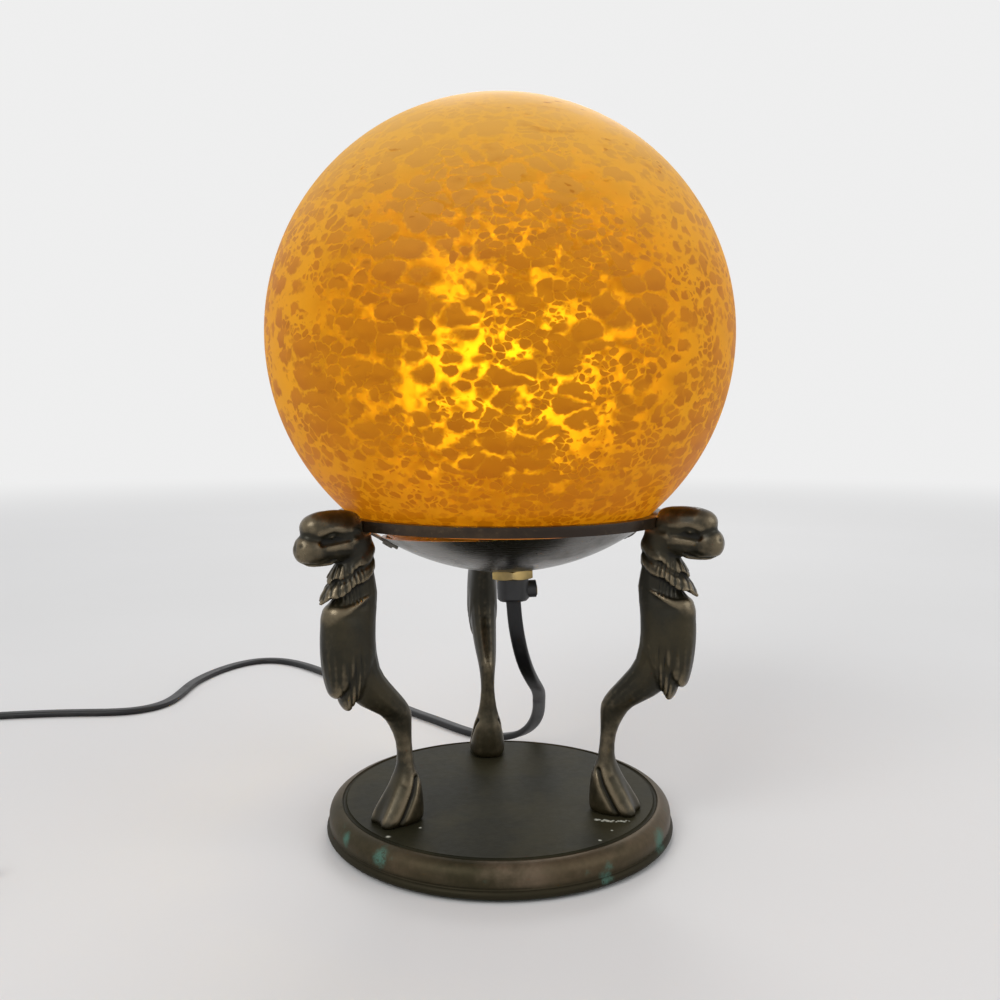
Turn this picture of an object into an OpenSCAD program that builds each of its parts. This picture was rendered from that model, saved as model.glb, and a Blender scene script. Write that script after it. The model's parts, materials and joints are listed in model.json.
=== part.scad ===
// Globe table lamp: a round cast base, three griffin legs, a ring, an open-footed glass globe,
// a hung pan with the lampholder, and a flat flex with a switch and a plug.

/* [Base] */
// Diameter over the bead at the foot
base_d = 140; // [136:1:150]
// Height of the casting without its felt
base_h = 12; // [11:0.5:16]
// Diameter of the flat top inside the groove
top_flat_d = 124; // [122:1:128]
// Wall of the hollow casting
base_wall = 3.5; // [3:0.5:4.5]
// Thickness of the felt
felt_t = 1; // [0.8:0.1:2]
// Diameter of a screw boss under the top
boss_d = 13; // [12:0.5:15]

/* [Legs] */
// Height of a leg from the base to its shelf under the ring
leg_h = 112; // [106:1:118]
// Distance from the lamp's axis to the screw in a hoof
foot_r = 45.5; // [44:0.5:47]
// Sides of a leg's main section
leg_sides = 16; // [16:4:24]

/* [Ring and globe] */
// Outer diameter of the ring
ring_d = 130; // [128:0.5:132]
// Height of the ring
ring_h = 3.8; // [3.4:0.1:5]
// Diameter of the globe
globe_d = 181.4; // [178:0.2:184]
// Wall of the globe
globe_wall = 2.8; // [2.4:0.1:3.2]
// How far the globe's foot reaches below the ring
globe_drop = 1.5; // [1:0.1:1.6]
// Gap between the globe and its seat
seat_gap = 0.3; // [0.2:0.05:0.4]

/* [Pan] */
// Radius of the pan's rim
pan_r = 51.7; // [50:0.1:52]
// Depth of the pan
pan_depth = 16; // [15:0.5:18]
// Sheet thickness of the pan
pan_t = 0.8; // [0.6:0.1:1]
// Sideways shift of the hung pan
pan_shift = 4.4; // [3.4:0.1:4.4]
// Lean of the hung pan in degrees
pan_lean = 3.5; // [2.5:0.1:3.5]
// Direction in which the pan's axis leans
lean_turn = 120; // [115:1:125]
// Height of the pan's rim below the underside of the ring
pan_drop = 4.7; // [4.6:0.1:6]

/* [Lampholder and bulb] */
// Outer diameter of the threaded tube
tube_d = 10; // [9.6:0.1:10.4]
// Bore of the threaded tube
tube_bore = 7.4; // [7.2:0.1:7.6]
// Width across the flats of the nuts
nut_af = 16; // [15:0.5:17]
// Thickness of the nut under the pan
nut_h = 3.6; // [3:0.1:4]
// Outer diameter of the lampholder
holder_d = 28; // [26:0.5:30]
// Diameter over the bulb's thread
cap_d = 13.9; // [13.6:0.1:14.2]
// Diameter of the bulb's glass
bulb_d = 45; // [40:1:48]
// Length of the bulb from its contact to its top
bulb_l = 78; // [75:1:82]

/* [Flex] */
// Width of the flat flex
cord_w = 6; // [5.6:0.1:6.4]
// Thickness of the flat flex
cord_t = 3.4; // [3.2:0.1:3.6]
// Diameter of the cord grip's body
grip_d = 12.8; // [12:0.2:14]
// Height of the cord grip
grip_h = 9; // [8:0.5:10]

/* [Switch and plug] */
// Length of the switch
switch_l = 60; // [56:1:64]
// Width of the switch
switch_w = 24; // [22:1:26]
// Height of the switch
switch_h = 18; // [17:0.5:20]
// Width of the plug
plug_w = 35.3; // [34:0.1:36]
// Height of the plug
plug_h = 13.7; // [13.4:0.1:14]
// Distance between the plug's pins
pin_gap = 18.6; // [18.4:0.1:19]

/* [Hidden] */
fit = 0.05;          // clearance of a shaft in its hole
loose = 0.2;         // clearance of a screw or a tube that passes freely
e = 0.1;             // how far a cutter runs past a face
fine = 96;
medium = 48;
small = 24;

// Heights and radii that several pieces share
base_z = felt_t;
top_z = base_z + base_h;
ring_z = top_z + leg_h;
ring_top = ring_z + ring_h;
ring_r = ring_d / 2;
globe_r = globe_d / 2;
seat_r = ring_r - 4.4;                                  // inner edge of the ring's top face
globe_z = ring_top + sqrt(globe_r * globe_r - pow(seat_r - seat_gap, 2));
foot_cut = ring_z - globe_drop;                         // height of the globe's open foot
rim_z = ring_z - pan_drop;
leg_angles = [210, 330, 90];
bead_r = 1.7;                                           // roundness of the bead at the foot
groove_r = 0.9;                                         // groove between the flat top and the roll
hanger_angles = [0, 180];

// Screws under the legs
leg_screw_r = 2;
leg_screw_head_r = 4;
leg_screw_head_h = 2.6;
leg_screw_reach = 14;
washer_t = 0.8;
washer_r = 4.6;
boss_z = base_z + 6;

// Ring fixings
ring_screw_r = 1;
ring_screw_head_r = 1.8;
ring_screw_head_h = 1;
ring_screw_l = 8;
ring_screw_at = ring_r - 2.1;
hanger_screw_r = 1.25;
hanger_screw_head_r = 2.2;
hanger_screw_head_h = 1.4;
hanger_screw_reach = 2.6;
hanger_screw_at = ring_r - 4.2;

// Pan and what stands on its axis; heights count from the pan's rim
cap_r = (pan_r * pan_r + pan_depth * pan_depth) / (2 * pan_depth);
pan_floor = -pan_depth + 0.5;                           // underside of the flat spot
pan_flat_r = sqrt(cap_r * cap_r - pow(cap_r - 0.5, 2));
nut_bottom = pan_floor - nut_h;
grip_bottom = nut_bottom - grip_h;
washer_z = pan_floor + pan_t;
tube_washer_t = 1;
tube_washer_r = 8;
lock_nut_h = 3;
nut_turn = 23;                                          // turns a corner of each nut to the front
holder_z = washer_z + tube_washer_t + lock_nut_h;       // underside of the lampholder
tube_top = holder_z + 6;
tube_end = 3.6;                                         // how far the tube runs into the cord grip
tube_bottom = nut_bottom - tube_end;
holder_r = holder_d / 2;
holder_wall = 2;
cap_h = 13;                                             // height of the holder's lower cap
block_z = holder_z + cap_h - 3;                         // underside of the inner block
block_h = 6;
contact_z = block_z + block_h + 1.2;                    // top of the centre contact
thread_r = cap_d / 2;
terminal_x = 5;
terminal_r = 1.25;
terminal_h = 4;
wire_y = 3.4;
sleeve_gap = 0.35;
sleeve_t = 0.4;
sleeve_h = 16;
shell_top = block_z + block_h + 22;
bulb_z = contact_z + 0.3;                               // lowest point of the bulb
bulb_r = bulb_d / 2;
bulb_mid = bulb_z + bulb_l - bulb_r;
pip_h = 1.4;
pip_r = 2.4;
bulb_cap_z = bulb_z + pip_h + 1;
cap_thread_h = 16;
cap_flare_h = 2;
cap_skirt_h = 4;
cap_sheet = 0.4;
bulb_cap_top = bulb_cap_z + cap_thread_h + cap_flare_h + cap_skirt_h;
bulb_skirt_r = thread_r + 1.3;
bulb_wall = 0.7;
neck_r = bulb_skirt_r - 0.5;
neck_z = bulb_cap_top - 3;
neck_low = bulb_cap_top + 0.2;
filament_z = bulb_mid - 6;

lump_r = 3.5;                                           // lump on the cord grip that holds its screw
grip_screw_r = 1.25;
grip_screw_head_r = 2.2;
grip_screw_seat = grip_d / 2 + 1.6;

// Hangers between the ring and the pan
hanger_w = 8;
hanger_t = 1;
tab_in = pan_r - 6.5;                                   // inner end of the tab on the pan
tab_out = pan_r + 0.4;
tab_mid = (tab_in + tab_out) / 2;
rivet_r = 1.3;

// Flex: points on the way from the grip to the switch, chosen by hand
cord_z = cord_t / 2;
hang_route = [
  [6, -2, 82], [8, 1, 73], [11, 7, 64], [15, 17, 56], [19, 29, 49], [23, 42, 42], [25, 55, 34],
  [27, 67, 26], [27, 78, 17], [24, 88, 9], [18, 96, 4]
];
table_route = [
  [8, 103], [-2, 112], [-10, 123], [-18, 135], [-27, 147], [-36, 161], [-45, 176], [-54, 191],
  [-62, 206], [-70, 221], [-78, 236], [-87, 250], [-97, 264], [-108, 276], [-120, 283],
  [-132, 282], [-143, 273], [-152, 260], [-159, 245], [-164, 229], [-166, 213], [-168, 198],
  [-172, 184], [-181, 175], [-194, 172], [-209, 173], [-225, 174], [-241, 174], [-258, 173],
  [-275, 171], [-290, 165], [-301, 155], [-308, 144]
];
switch_x = -311;
switch_end = 130;                                       // where the flex goes into the switch
switch_cord_z = cord_z + 1.5;
run_route = [[-311.6, 55], [-314.6, 44], [-319.4, 34], [-324.4, 25]];

// Coil: spirals in on the table, climbs a layer and spirals out again
coil_x = -285;
coil_y = 5;
coil_turns = 5.25;
coil_mean_r = 33;
coil_pitch = 7;
coil_layer = 4.2;
coil_lift = 0.7;
coil_start = 180;
coil_out_r = coil_mean_r + coil_pitch * coil_turns / 4;
coil_rings = 24;
coil_climb = 0.5;                                       // turns over which the coil climbs a layer
tie_t = 0.5;
tie_w = 4;
tie_angle = 0;

// Plug and switch
plug_l = 34;
plug_x = -242;                                          // cord end of the plug's body
relief_l = 20;
pin_r = 2;
pin_l = 19;
pin_lean = 1.7;
switch_split = switch_h * 0.45;
switch_screw_y = 22;
switch_screw_r = 1;
switch_screw_head_r = 2.5;
rocker_l = 22;
rocker_w = 12;
rocker_pin_r = 1.5;
rocker_z = switch_h - 4.5;
rocker_tilt = 8;

bronze = [0.30, 0.26, 0.19];
steel = [0.62, 0.62, 0.60];
brass = [0.78, 0.62, 0.30];
black = [0.06, 0.06, 0.06];
amber = [0.95, 0.55, 0.08];

// Round solids, from coarse to fine
module rod(h, r) {
  cylinder(h = h, r = r, $fn = small);
}

module disc(h, r) {
  cylinder(h = h, r = r, $fn = medium);
}

module drum(h, r) {
  cylinder(h = h, r = r, $fn = fine);
}

module cone(h, r1, r2) {
  cylinder(h = h, r1 = r1, r2 = r2, $fn = medium);
}

// Vector helpers
function unit(v) = v / norm(v);
function mix(a, b, t) = a + (b - a) * t;
function bend(x, p) = sign(x) * pow(abs(x), p);

// A row of numbers between rows b and c of a smooth curve through a, b, c and d
function between(a, b, c, d, t) =
  b + t * (c - a) / 2 + t * t * (2 * a - 5 * b + 4 * c - d) / 2 + t * t * t * (3 * b - a - 3 * c + d) / 2;
function smooth_rows(rows, steps) = [
  for (i = [0 : len(rows) - 2], s = [0 : steps - 1])
    between(rows[max(i - 1, 0)], rows[i], rows[i + 1], rows[min(i + 2, len(rows) - 1)], s / steps),
  rows[len(rows) - 1]
];

// A closed solid through rings that have the same number of points
module skin(rings) {
  n = len(rings[0]);
  m = len(rings);
  sides = [for (i = [0 : m - 2], j = [0 : n - 1], h = [0, 1])
    h == 0
      ? [i * n + j, (i + 1) * n + (j + 1) % n, i * n + (j + 1) % n]
      : [i * n + j, (i + 1) * n + j, (i + 1) * n + (j + 1) % n]];
  last = (m - 1) * n;
  first_end = [for (j = [1 : n - 2]) [0, j, j + 1]];
  last_end = [for (j = [1 : n - 2]) [last, last + j + 1, last + j]];
  polyhedron(points = [for (r = rings) each r], faces = concat(sides, first_end, last_end));
}

// Leg: rows of height, back, front and half width, with a squareness and a cleft at the toe.
// Heights count from the base, and the last row runs past the shelf. Back and front count from the
// ring's outer face.
leg_rows = [
  [0, -25.6, -4.6, 7.2, 0.7, 3.4],
  [4, -25.7, -6.8, 7.2, 0.75, 3],
  [9, -25.6, -10.4, 6.6, 0.85, 2],
  [15, -24.8, -14.6, 5.6, 0.95, 0.8],
  [22, -23, -16.7, 4, 1, 0],
  [30, -22.3, -16.1, 3.1, 1, 0],
  [37, -22.4, -13.2, 3.4, 1, 0],
  [42, -22.1, -9.2, 4.1, 1, 0],
  [47, -19.2, -1, 4.9, 1, 0],
  [54, -13.2, 6.5, 5.7, 1, 0],
  [61, -8.5, 10.5, 6.2, 0.95, 0],
  [72, -6.6, 12.5, 6.4, 0.9, 0],
  [82, -7.2, 11.5, 5.7, 0.95, 0],
  [89, -8, 9, 5, 1, 0],
  [98, -6.4, 8, 4.7, 1, 0],
  [107, -5.5, 8.6, 5, 1, 0],
  [115, -5.4, 9, 5.2, 1, 0]
];
// Breast leaves, the outer one first: they wrap round the front and end in a point
leaves = [
  [
    [82, 0, 11.6, 4.8, 1, 0],
    [80.6, -3, 13.4, 6.2, 0.9, 0],
    [76, -4.2, 14.2, 6.7, 0.85, 0],
    [68, -4, 14.3, 7.1, 0.85, 0],
    [61, -1, 13.5, 6.9, 0.85, 0],
    [56, 4, 12.4, 5.8, 0.9, 0],
    [53, 7.5, 11.4, 3.8, 1, 0],
    [51.8, 8.8, 10.2, 1.6, 1, 0]
  ],
  [
    [76, -6, 8, 6, 1, 0],
    [68, -6.6, 9, 6.7, 0.9, 0],
    [60, -4.5, 9.4, 6.8, 0.85, 0],
    [53, -0.5, 8.4, 5.8, 0.9, 0],
    [48.5, 2.6, 7, 3.8, 1, 0],
    [46.4, 3.8, 5.4, 1.6, 1, 0]
  ]
];
// Jaw: rows of distance outward, underside, top and half width
jaw_rows = [
  [-1, 101.6, 116.2, 4.8],
  [4, 100.8, 116.4, 5.6],
  [9, 101, 115, 5.8],
  [14, 101.8, 113, 5],
  [18, 102.4, 111.5, 4]
];
// Brow, cheek, muzzle and chin: outward place and height, then radius outward, sideways and up
head_forms = [
  [9.4, 114, 12.4, 6.9, 5.9],
  [8.2, 107.6, 10.2, 6.1, 6.4],
  [17.7, 106.5, 6.5, 5.5, 5.8],
  [14.8, 101.8, 6, 3.8, 1.7]
];
// Ruffs: height of the top edge, height of the hem at its middle, reach and half width
ruffs = [[101.5, 93.6, 14.8, 7], [106, 99.8, 12.2, 6.2]];
ruff_slope = 0.5;
ruff_points = 6;
ruff_sides = 24;
collar = [85.6, 12.6, 6.5];                             // middle height, reach and half width

neck_over = 3;                                          // how far the last row runs past the shelf
row_h = leg_rows[len(leg_rows) - 1][0] - neck_over;
leg_stretch = leg_h / row_h;
notch_power = 10;                                       // keeps the cleft narrow
head_square = 0.9;
oval_long = 0.85;
oval_round = 0.8;
oval_turns = [15 : 25 : 165];
head_sides = 12;
function upward(rows) = [for (i = [len(rows) - 1 : -1 : 0]) rows[i]];
function section(row, sides) = [
  for (j = [0 : sides - 1])
    let (
      a = 360 * j / sides,
      mid = (row[1] + row[2]) / 2,
      half = (row[2] - row[1]) / 2,
      notch = row[5] * pow(max(0, cos(a)), notch_power)
    )
    [
      ring_r + mid + half * bend(cos(a), row[4]) - notch,
      row[3] * bend(sin(a), row[4]),
      row[0] * leg_stretch
    ]
];
function head_section(row, sides) = [
  for (j = [0 : sides - 1])
    let (a = 360 * j / sides, mid = (row[1] + row[2]) / 2, half = (row[2] - row[1]) / 2)
    [
      ring_r + row[0],
      -row[3] * bend(sin(a), head_square),
      leg_h - row_h + mid + half * bend(cos(a), head_square)
    ]
];
function oval_ring(f, t, sides) = [
  for (j = [0 : sides - 1])
    let (a = 360 * j / sides)
    [
      ring_r + f[0] - f[2] * bend(cos(t), oval_long),
      -f[3] * bend(sin(t), oval_round) * sin(a),
      leg_h - row_h + f[1] + f[4] * bend(sin(t), oval_round) * cos(a)
    ]
];
function ruff_section(z, back, front, half, scallop) = [
  for (j = [0 : ruff_sides - 1])
    let (
      a = 360 * j / ruff_sides,
      mid = (back + front) / 2,
      out = mid + (front - back) / 2 * cos(a),
      tip = scallop * abs(cos(a * ruff_points / 2))
    )
    [ring_r + out, half * sin(a), z * leg_stretch - (out - mid) * ruff_slope - tip]
];

module leg_form() {
  skin([for (r = smooth_rows(leg_rows, 2)) section(r, leg_sides)]);
  for (rows = leaves)
    skin([for (r = smooth_rows(upward(rows), 2)) section(r, leg_sides)]);
  skin([for (r = smooth_rows(jaw_rows, 2)) head_section(r, head_sides)]);
  for (f = head_forms)
    skin([for (t = oval_turns) oval_ring(f, t, head_sides)]);
  for (r = ruffs) ruff(r);
  collar_bead();
}

// A ruff starts inside the neck, flares to its hem and draws in again to its top edge
module ruff(r) {
  back = -7;
  hem_t = 1;
  skin([
    ruff_section(r[1] - hem_t, back + 3, r[2] - 5, r[3] - 2.4, 0.4),
    ruff_section(r[1], back, r[2], r[3], 1.6),
    ruff_section(mix(r[1], r[0], 0.35), back, r[2] - 1.8, r[3] - 0.6, 0.4),
    ruff_section(r[0], back + 1.5, 6.5, 4, 0)
  ]);
}

module collar_bead() {
  back = -6;
  inside = 1.5;
  skin([
    ruff_section(collar[0] - 1.2, back + 1, collar[1] - inside, collar[2] - 1, 0),
    ruff_section(collar[0], back, collar[1], collar[2], 0),
    ruff_section(collar[0] + 1.4, back + 1, collar[1] - inside, collar[2] - 1, 0)
  ]);
}

module leg(angle) {
  color(bronze)
    rotate([0, 0, angle])
      difference() {
        translate([0, 0, top_z]) leg_form();
        translate([0, 0, ring_z]) drum(leg_h, ring_r + fit);
        translate([foot_r, 0, top_z - e]) rod(leg_screw_reach + 1, leg_screw_r + fit);
        translate([ring_screw_at, 0, ring_z - ring_screw_l]) rod(leg_h, ring_screw_r + fit);
      }
}

module base_profile() {
  flat_r = top_flat_d / 2;
  foot = base_d / 2;
  roll_r = 5.2;
  roll_at = foot - roll_r - 1;                          // middle of the roll
  foot_groove_r = 0.8;
  difference() {
    union() {
      translate([0, base_z]) square([roll_at, base_h]);
      translate([roll_at, top_z - roll_r - 0.2]) circle(r = roll_r, $fn = medium);
      translate([roll_at - 1, base_z + 2 * bead_r]) square([roll_r + 1, base_h - 2 * bead_r - roll_r - 0.2]);
      translate([foot - bead_r, base_z + bead_r]) circle(r = bead_r, $fn = medium);
      translate([roll_at, base_z]) square([foot - bead_r - roll_at, 2 * bead_r + 1]);
    }
    translate([flat_r + groove_r, top_z]) circle(r = groove_r, $fn = small);
    translate([foot - foot_groove_r / 2, base_z + 2 * bead_r + 0.5]) circle(r = foot_groove_r, $fn = small);
    translate([-1, base_z - 1]) square([roll_at - base_wall + 1, base_h - base_wall + 1]);
  }
}

module base_plate() {
  boss_h = top_z - 1 - boss_z;
  color(bronze)
    difference() {
      union() {
        rotate_extrude($fn = fine) base_profile();
        for (a = leg_angles)
          rotate([0, 0, a]) translate([foot_r, 0, boss_z]) cylinder(h = boss_h, d = boss_d, $fn = medium);
      }
      for (a = leg_angles)
        rotate([0, 0, a]) translate([foot_r, 0, base_z]) rod(base_h + e, leg_screw_r + loose);
    }
}

module base_felt() {
  color([0.10, 0.22, 0.14]) drum(felt_t, base_d / 2 - 3);
}

module leg_screws() {
  shank = leg_screw_head_h + washer_t + top_z - boss_z + leg_screw_reach;
  color(steel)
    for (a = leg_angles)
      rotate([0, 0, a])
        translate([foot_r, 0, boss_z - washer_t - leg_screw_head_h])
          difference() {
            union() {
              disc(leg_screw_head_h, leg_screw_head_r);
              rod(shank, leg_screw_r);
            }
            slot(leg_screw_head_r, 1, 1.2);
          }
}

// A screw's slot, cut upward into a head that faces down
module slot(reach, width, depth) {
  translate([-reach, -width / 2, -e]) cube([2 * reach, width, depth + e]);
}

module leg_washers() {
  color(steel)
    for (a = leg_angles)
      rotate([0, 0, a])
        translate([foot_r, 0, boss_z - washer_t])
          difference() {
            disc(washer_t, washer_r);
            translate([0, 0, -e]) rod(washer_t + 2 * e, leg_screw_r + loose);
          }
}

// The ring's inner face is a cone that follows the globe at the seat gap
module gallery_ring() {
  low_r = sqrt(pow(globe_r, 2) - pow(globe_z - ring_z, 2)) + seat_gap * 1.6;
  color(bronze)
    difference() {
      translate([0, 0, ring_z]) drum(ring_h, ring_r);
      translate([0, 0, ring_z]) cylinder(h = ring_h, r1 = low_r, r2 = seat_r + 0.15, $fn = fine);
      translate([0, 0, ring_z - 1]) drum(1 + e, low_r);
      translate([0, 0, ring_top - e]) drum(1, seat_r);
      for (a = leg_angles)
        rotate([0, 0, a]) translate([ring_screw_at, 0, ring_z - e]) {
          rod(ring_h + 1, ring_screw_r + fit);
          translate([0, 0, ring_h + e - ring_screw_head_h - fit])
            rod(ring_screw_head_h + 1, ring_screw_head_r + fit);
        }
      for (a = hanger_angles)
        rotate([0, 0, a]) translate([hanger_screw_at, 0, ring_z - e])
          rod(hanger_screw_reach + e + loose, hanger_screw_r + fit);
    }
}

module ring_screws() {
  color(brass)
    for (a = leg_angles)
      rotate([0, 0, a])
        translate([ring_screw_at, 0, ring_top])
          rotate([180, 0, 0])
            difference() {
              union() {
                rod(ring_screw_head_h, ring_screw_head_r);
                rod(ring_screw_l, ring_screw_r);
              }
              slot(ring_screw_head_r, 0.5, 0.5);
            }
}

module globe() {
  color(amber)
    translate([0, 0, globe_z])
      difference() {
        sphere(r = globe_r, $fn = fine);
        sphere(r = globe_r - globe_wall, $fn = fine);
        translate([0, 0, foot_cut - globe_z - globe_r]) drum(globe_r, globe_r);
      }
}

// What hangs from the ring leans a little with the pan
module hung() {
  translate([pan_shift, 0, rim_z])
    rotate([0, 0, lean_turn]) rotate([0, pan_lean, 0]) rotate([0, 0, -lean_turn])
      children();
}

// Places a piece on the pan's outside at a distance from the pan's axis
module on_pan(angle, distance, sink) {
  slope = asin(distance / cap_r);
  rotate([0, 0, angle])
    translate([0, 0, cap_r - pan_depth])
      rotate([0, 180 - slope, 0])
        translate([0, 0, cap_r - sink])
          children();
}

module hanger(angle) {
  foot_in = ring_r - 7;
  foot_l = 6;
  fold = 0.5;                                           // the bend where the strap leaves its foot
  tab_slope = asin(tab_mid / cap_r);
  tab_l = (tab_out - tab_in) / cos(tab_slope);
  end = 0.2;
  color(steel)
    difference() {
      union() {
        rotate([0, 0, angle]) translate([foot_in, 0, ring_z - hanger_t]) strap(foot_l);
        hull() {
          rotate([0, 0, angle]) translate([foot_in, 0, ring_z - hanger_t]) strap(fold);
          hung() on_pan(angle, tab_out, -e) strap(end);
        }
        hung() on_pan(angle, tab_mid, -e) translate([-tab_l / 2, 0, 0]) strap(tab_l);
      }
      rotate([0, 0, angle]) translate([hanger_screw_at, 0, ring_z - 3]) rod(4, hanger_screw_r + e);
      hung() on_pan(angle, tab_mid, 2) rod(6, rivet_r + fit);
    }
}

module strap(length) {
  translate([0, -hanger_w / 2, 0]) cube([length, hanger_w, hanger_t]);
}

module pan_hangers() {
  for (a = hanger_angles) hanger(a);
}

module hanger_screws() {
  color(steel)
    for (a = hanger_angles)
      rotate([0, 0, a])
        translate([hanger_screw_at, 0, ring_z - hanger_t - hanger_screw_head_h])
          difference() {
            union() {
              rod(hanger_screw_head_h, hanger_screw_head_r);
              rod(hanger_screw_head_h + hanger_t + hanger_screw_reach, hanger_screw_r);
            }
            slot(hanger_screw_head_r + 1, 0.6, 0.6);
          }
}

module hanger_rivets() {
  head_h = 0.8;
  head_r = rivet_r + 0.9;
  inside = pan_t + 0.9;                                 // how far the inner head stands inside the pan
  grip = inside + hanger_t + 0.15;
  color(steel)
    hung()
      for (a = hanger_angles)
        on_pan(a, tab_mid, inside) {
          rod(head_h, head_r);
          rod(grip + head_h, rivet_r);
          translate([0, 0, grip]) rod(head_h, head_r);
        }
}

module dish() {
  hole_r = tube_d / 2 + loose;
  color(steel)
    hung()
      difference() {
        intersection() {
          translate([0, 0, cap_r - pan_depth])
            difference() {
              sphere(r = cap_r, $fn = fine);
              sphere(r = cap_r - pan_t, $fn = fine);
            }
          translate([0, 0, pan_floor]) drum(pan_depth, pan_r + 1);
        }
        drum(5 * cap_r, cap_r);
        translate([0, 0, -pan_depth - 1]) disc(5, hole_r);
        for (a = hanger_angles) on_pan(a, tab_mid, 3) rod(5, rivet_r + fit);
      }
  color(steel)
    hung()
      translate([0, 0, pan_floor])
        difference() {
          disc(pan_t, pan_flat_r);
          translate([0, 0, -e]) disc(2, hole_r);
        }
}

module threaded_tube() {
  color(brass)
    hung()
      translate([0, 0, tube_bottom])
        difference() {
          cylinder(h = tube_top - tube_bottom, d = tube_d, $fn = medium);
          translate([0, 0, -e]) cylinder(h = tube_top - tube_bottom + 2 * e, d = tube_bore, $fn = medium);
        }
}

module nut(height) {
  corner_r = nut_af / 2 / cos(30);
  chamfer = 0.6;
  difference() {
    intersection() {
      cylinder(h = height, r = corner_r, $fn = 6);
      union() {
        cone(chamfer, nut_af / 2, corner_r);
        translate([0, 0, chamfer]) disc(height - 2 * chamfer, corner_r);
        translate([0, 0, height - chamfer]) cone(chamfer, corner_r, nut_af / 2);
      }
    }
    translate([0, 0, -e]) disc(height + 2 * e, tube_d / 2 + fit);
  }
}

module hex_nut() {
  color(brass) hung() translate([0, 0, nut_bottom]) rotate([0, 0, nut_turn]) nut(nut_h);
}

module lock_nut() {
  color(brass) hung() translate([0, 0, washer_z + tube_washer_t]) rotate([0, 0, nut_turn]) nut(lock_nut_h);
}

module tube_washer() {
  color(brass)
    hung()
      translate([0, 0, washer_z])
        difference() {
          disc(tube_washer_t, tube_washer_r);
          translate([0, 0, -e]) disc(2, tube_d / 2 + 0.1);
        }
}

// The flat flex's section: the shares of its half width and half thickness that lie flat
flat_w = 0.72;
flat_t = 0.4;
function flat_section() =
  let (w = cord_w / 2, t = cord_t / 2, u = flat_w * w, v = flat_t * t)
  [[w, v], [u, t], [-u, t], [-w, v], [-w, -v], [-u, -t], [u, -t], [w, -v]];

module flat_slot(height, gap) {
  linear_extrude(height = height)
    polygon([for (p = flat_section()) [p[0] * (1 + 2 * gap / cord_w), p[1] * (1 + 2 * gap / cord_t)]]);
}

module cord_grip() {
  bevel = 1;
  color(black)
    hung()
      difference() {
        union() {
          translate([0, 0, grip_bottom + bevel]) disc(grip_h - bevel, grip_d / 2);
          translate([0, 0, grip_bottom]) cone(bevel, grip_d / 2 - bevel, grip_d / 2);
          translate([0, 0, grip_bottom + grip_h / 2]) rotate([0, 90, 0]) disc(grip_d / 2 + 2.8, lump_r);
        }
        translate([0, 0, tube_bottom - fit]) disc(grip_h, tube_d / 2 + fit);
        translate([0, 0, grip_bottom - e]) flat_slot(grip_h, loose);
        at_grip_screw() rod(grip_d, grip_screw_r + fit);
        at_grip_screw() translate([0, 0, grip_screw_seat]) rod(grip_d, grip_screw_head_r + loose);
      }
}

module at_grip_screw() {
  translate([0, 0, grip_bottom + grip_h / 2 - 0.6]) rotate([0, 90, 0]) children();
}

module cord_grip_screw() {
  start = cord_w / 2 + 0.35;
  head_h = 1.6;
  color(brass)
    hung()
      at_grip_screw()
        difference() {
          union() {
            translate([0, 0, start]) rod(grip_screw_seat - start, grip_screw_r);
            translate([0, 0, grip_screw_seat]) rod(head_h, grip_screw_head_r);
          }
          translate([0, 0, grip_screw_seat + head_h + e - 0.7]) slot(grip_screw_head_r + 1, 0.6, 0.7);
        }
}

module holder_cap() {
  skirt_r = holder_r - 1;
  shoulder_h = 4;
  bottom_r = skirt_r - shoulder_h;
  color(black)
    hung()
      translate([0, 0, holder_z])
        difference() {
          union() {
            cone(shoulder_h, bottom_r, skirt_r);
            translate([0, 0, shoulder_h]) disc(cap_h - shoulder_h, skirt_r);
          }
          translate([0, 0, shoulder_h - 1]) cone(1, bottom_r - holder_wall, skirt_r - holder_wall);
          translate([0, 0, shoulder_h]) disc(cap_h, skirt_r - holder_wall);
          translate([0, 0, -e]) disc(shoulder_h + 1, tube_d / 2 + fit);
        }
}

module holder_insulator() {
  color([0.90, 0.88, 0.82])
    hung()
      translate([0, 0, block_z])
        difference() {
          disc(block_h, holder_r - 1 - holder_wall - e);
          for (x = [-terminal_x, terminal_x]) {
            translate([x, 0, -e]) rod(terminal_h, terminal_r + fit);
            translate([x, wire_y, -e]) rod(block_h + 1, 1);
          }
        }
}

module holder_terminals() {
  head_h = 1.6;
  color(brass)
    hung()
      for (x = [-terminal_x, terminal_x])
        translate([x, 0, block_z - head_h]) {
          rod(head_h, 2.2);
          rod(head_h + terminal_h - 1, terminal_r);
        }
}

module holder_contact() {
  plate = [9, 3, 0.5];
  color(brass)
    hung()
      translate([0, 0, block_z + block_h]) {
        translate([-plate[0] / 2, -plate[1] / 2, 0]) cube(plate);
        translate([0, 0, plate[2]]) rod(contact_z - block_z - block_h - plate[2], 2);
      }
}

module holder_thread() {
  color(brass)
    hung()
      translate([0, 0, block_z + block_h])
        difference() {
          disc(sleeve_h, thread_r + sleeve_gap + sleeve_t);
          translate([0, 0, -e]) disc(sleeve_h + 1, thread_r + sleeve_gap);
        }
}

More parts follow.
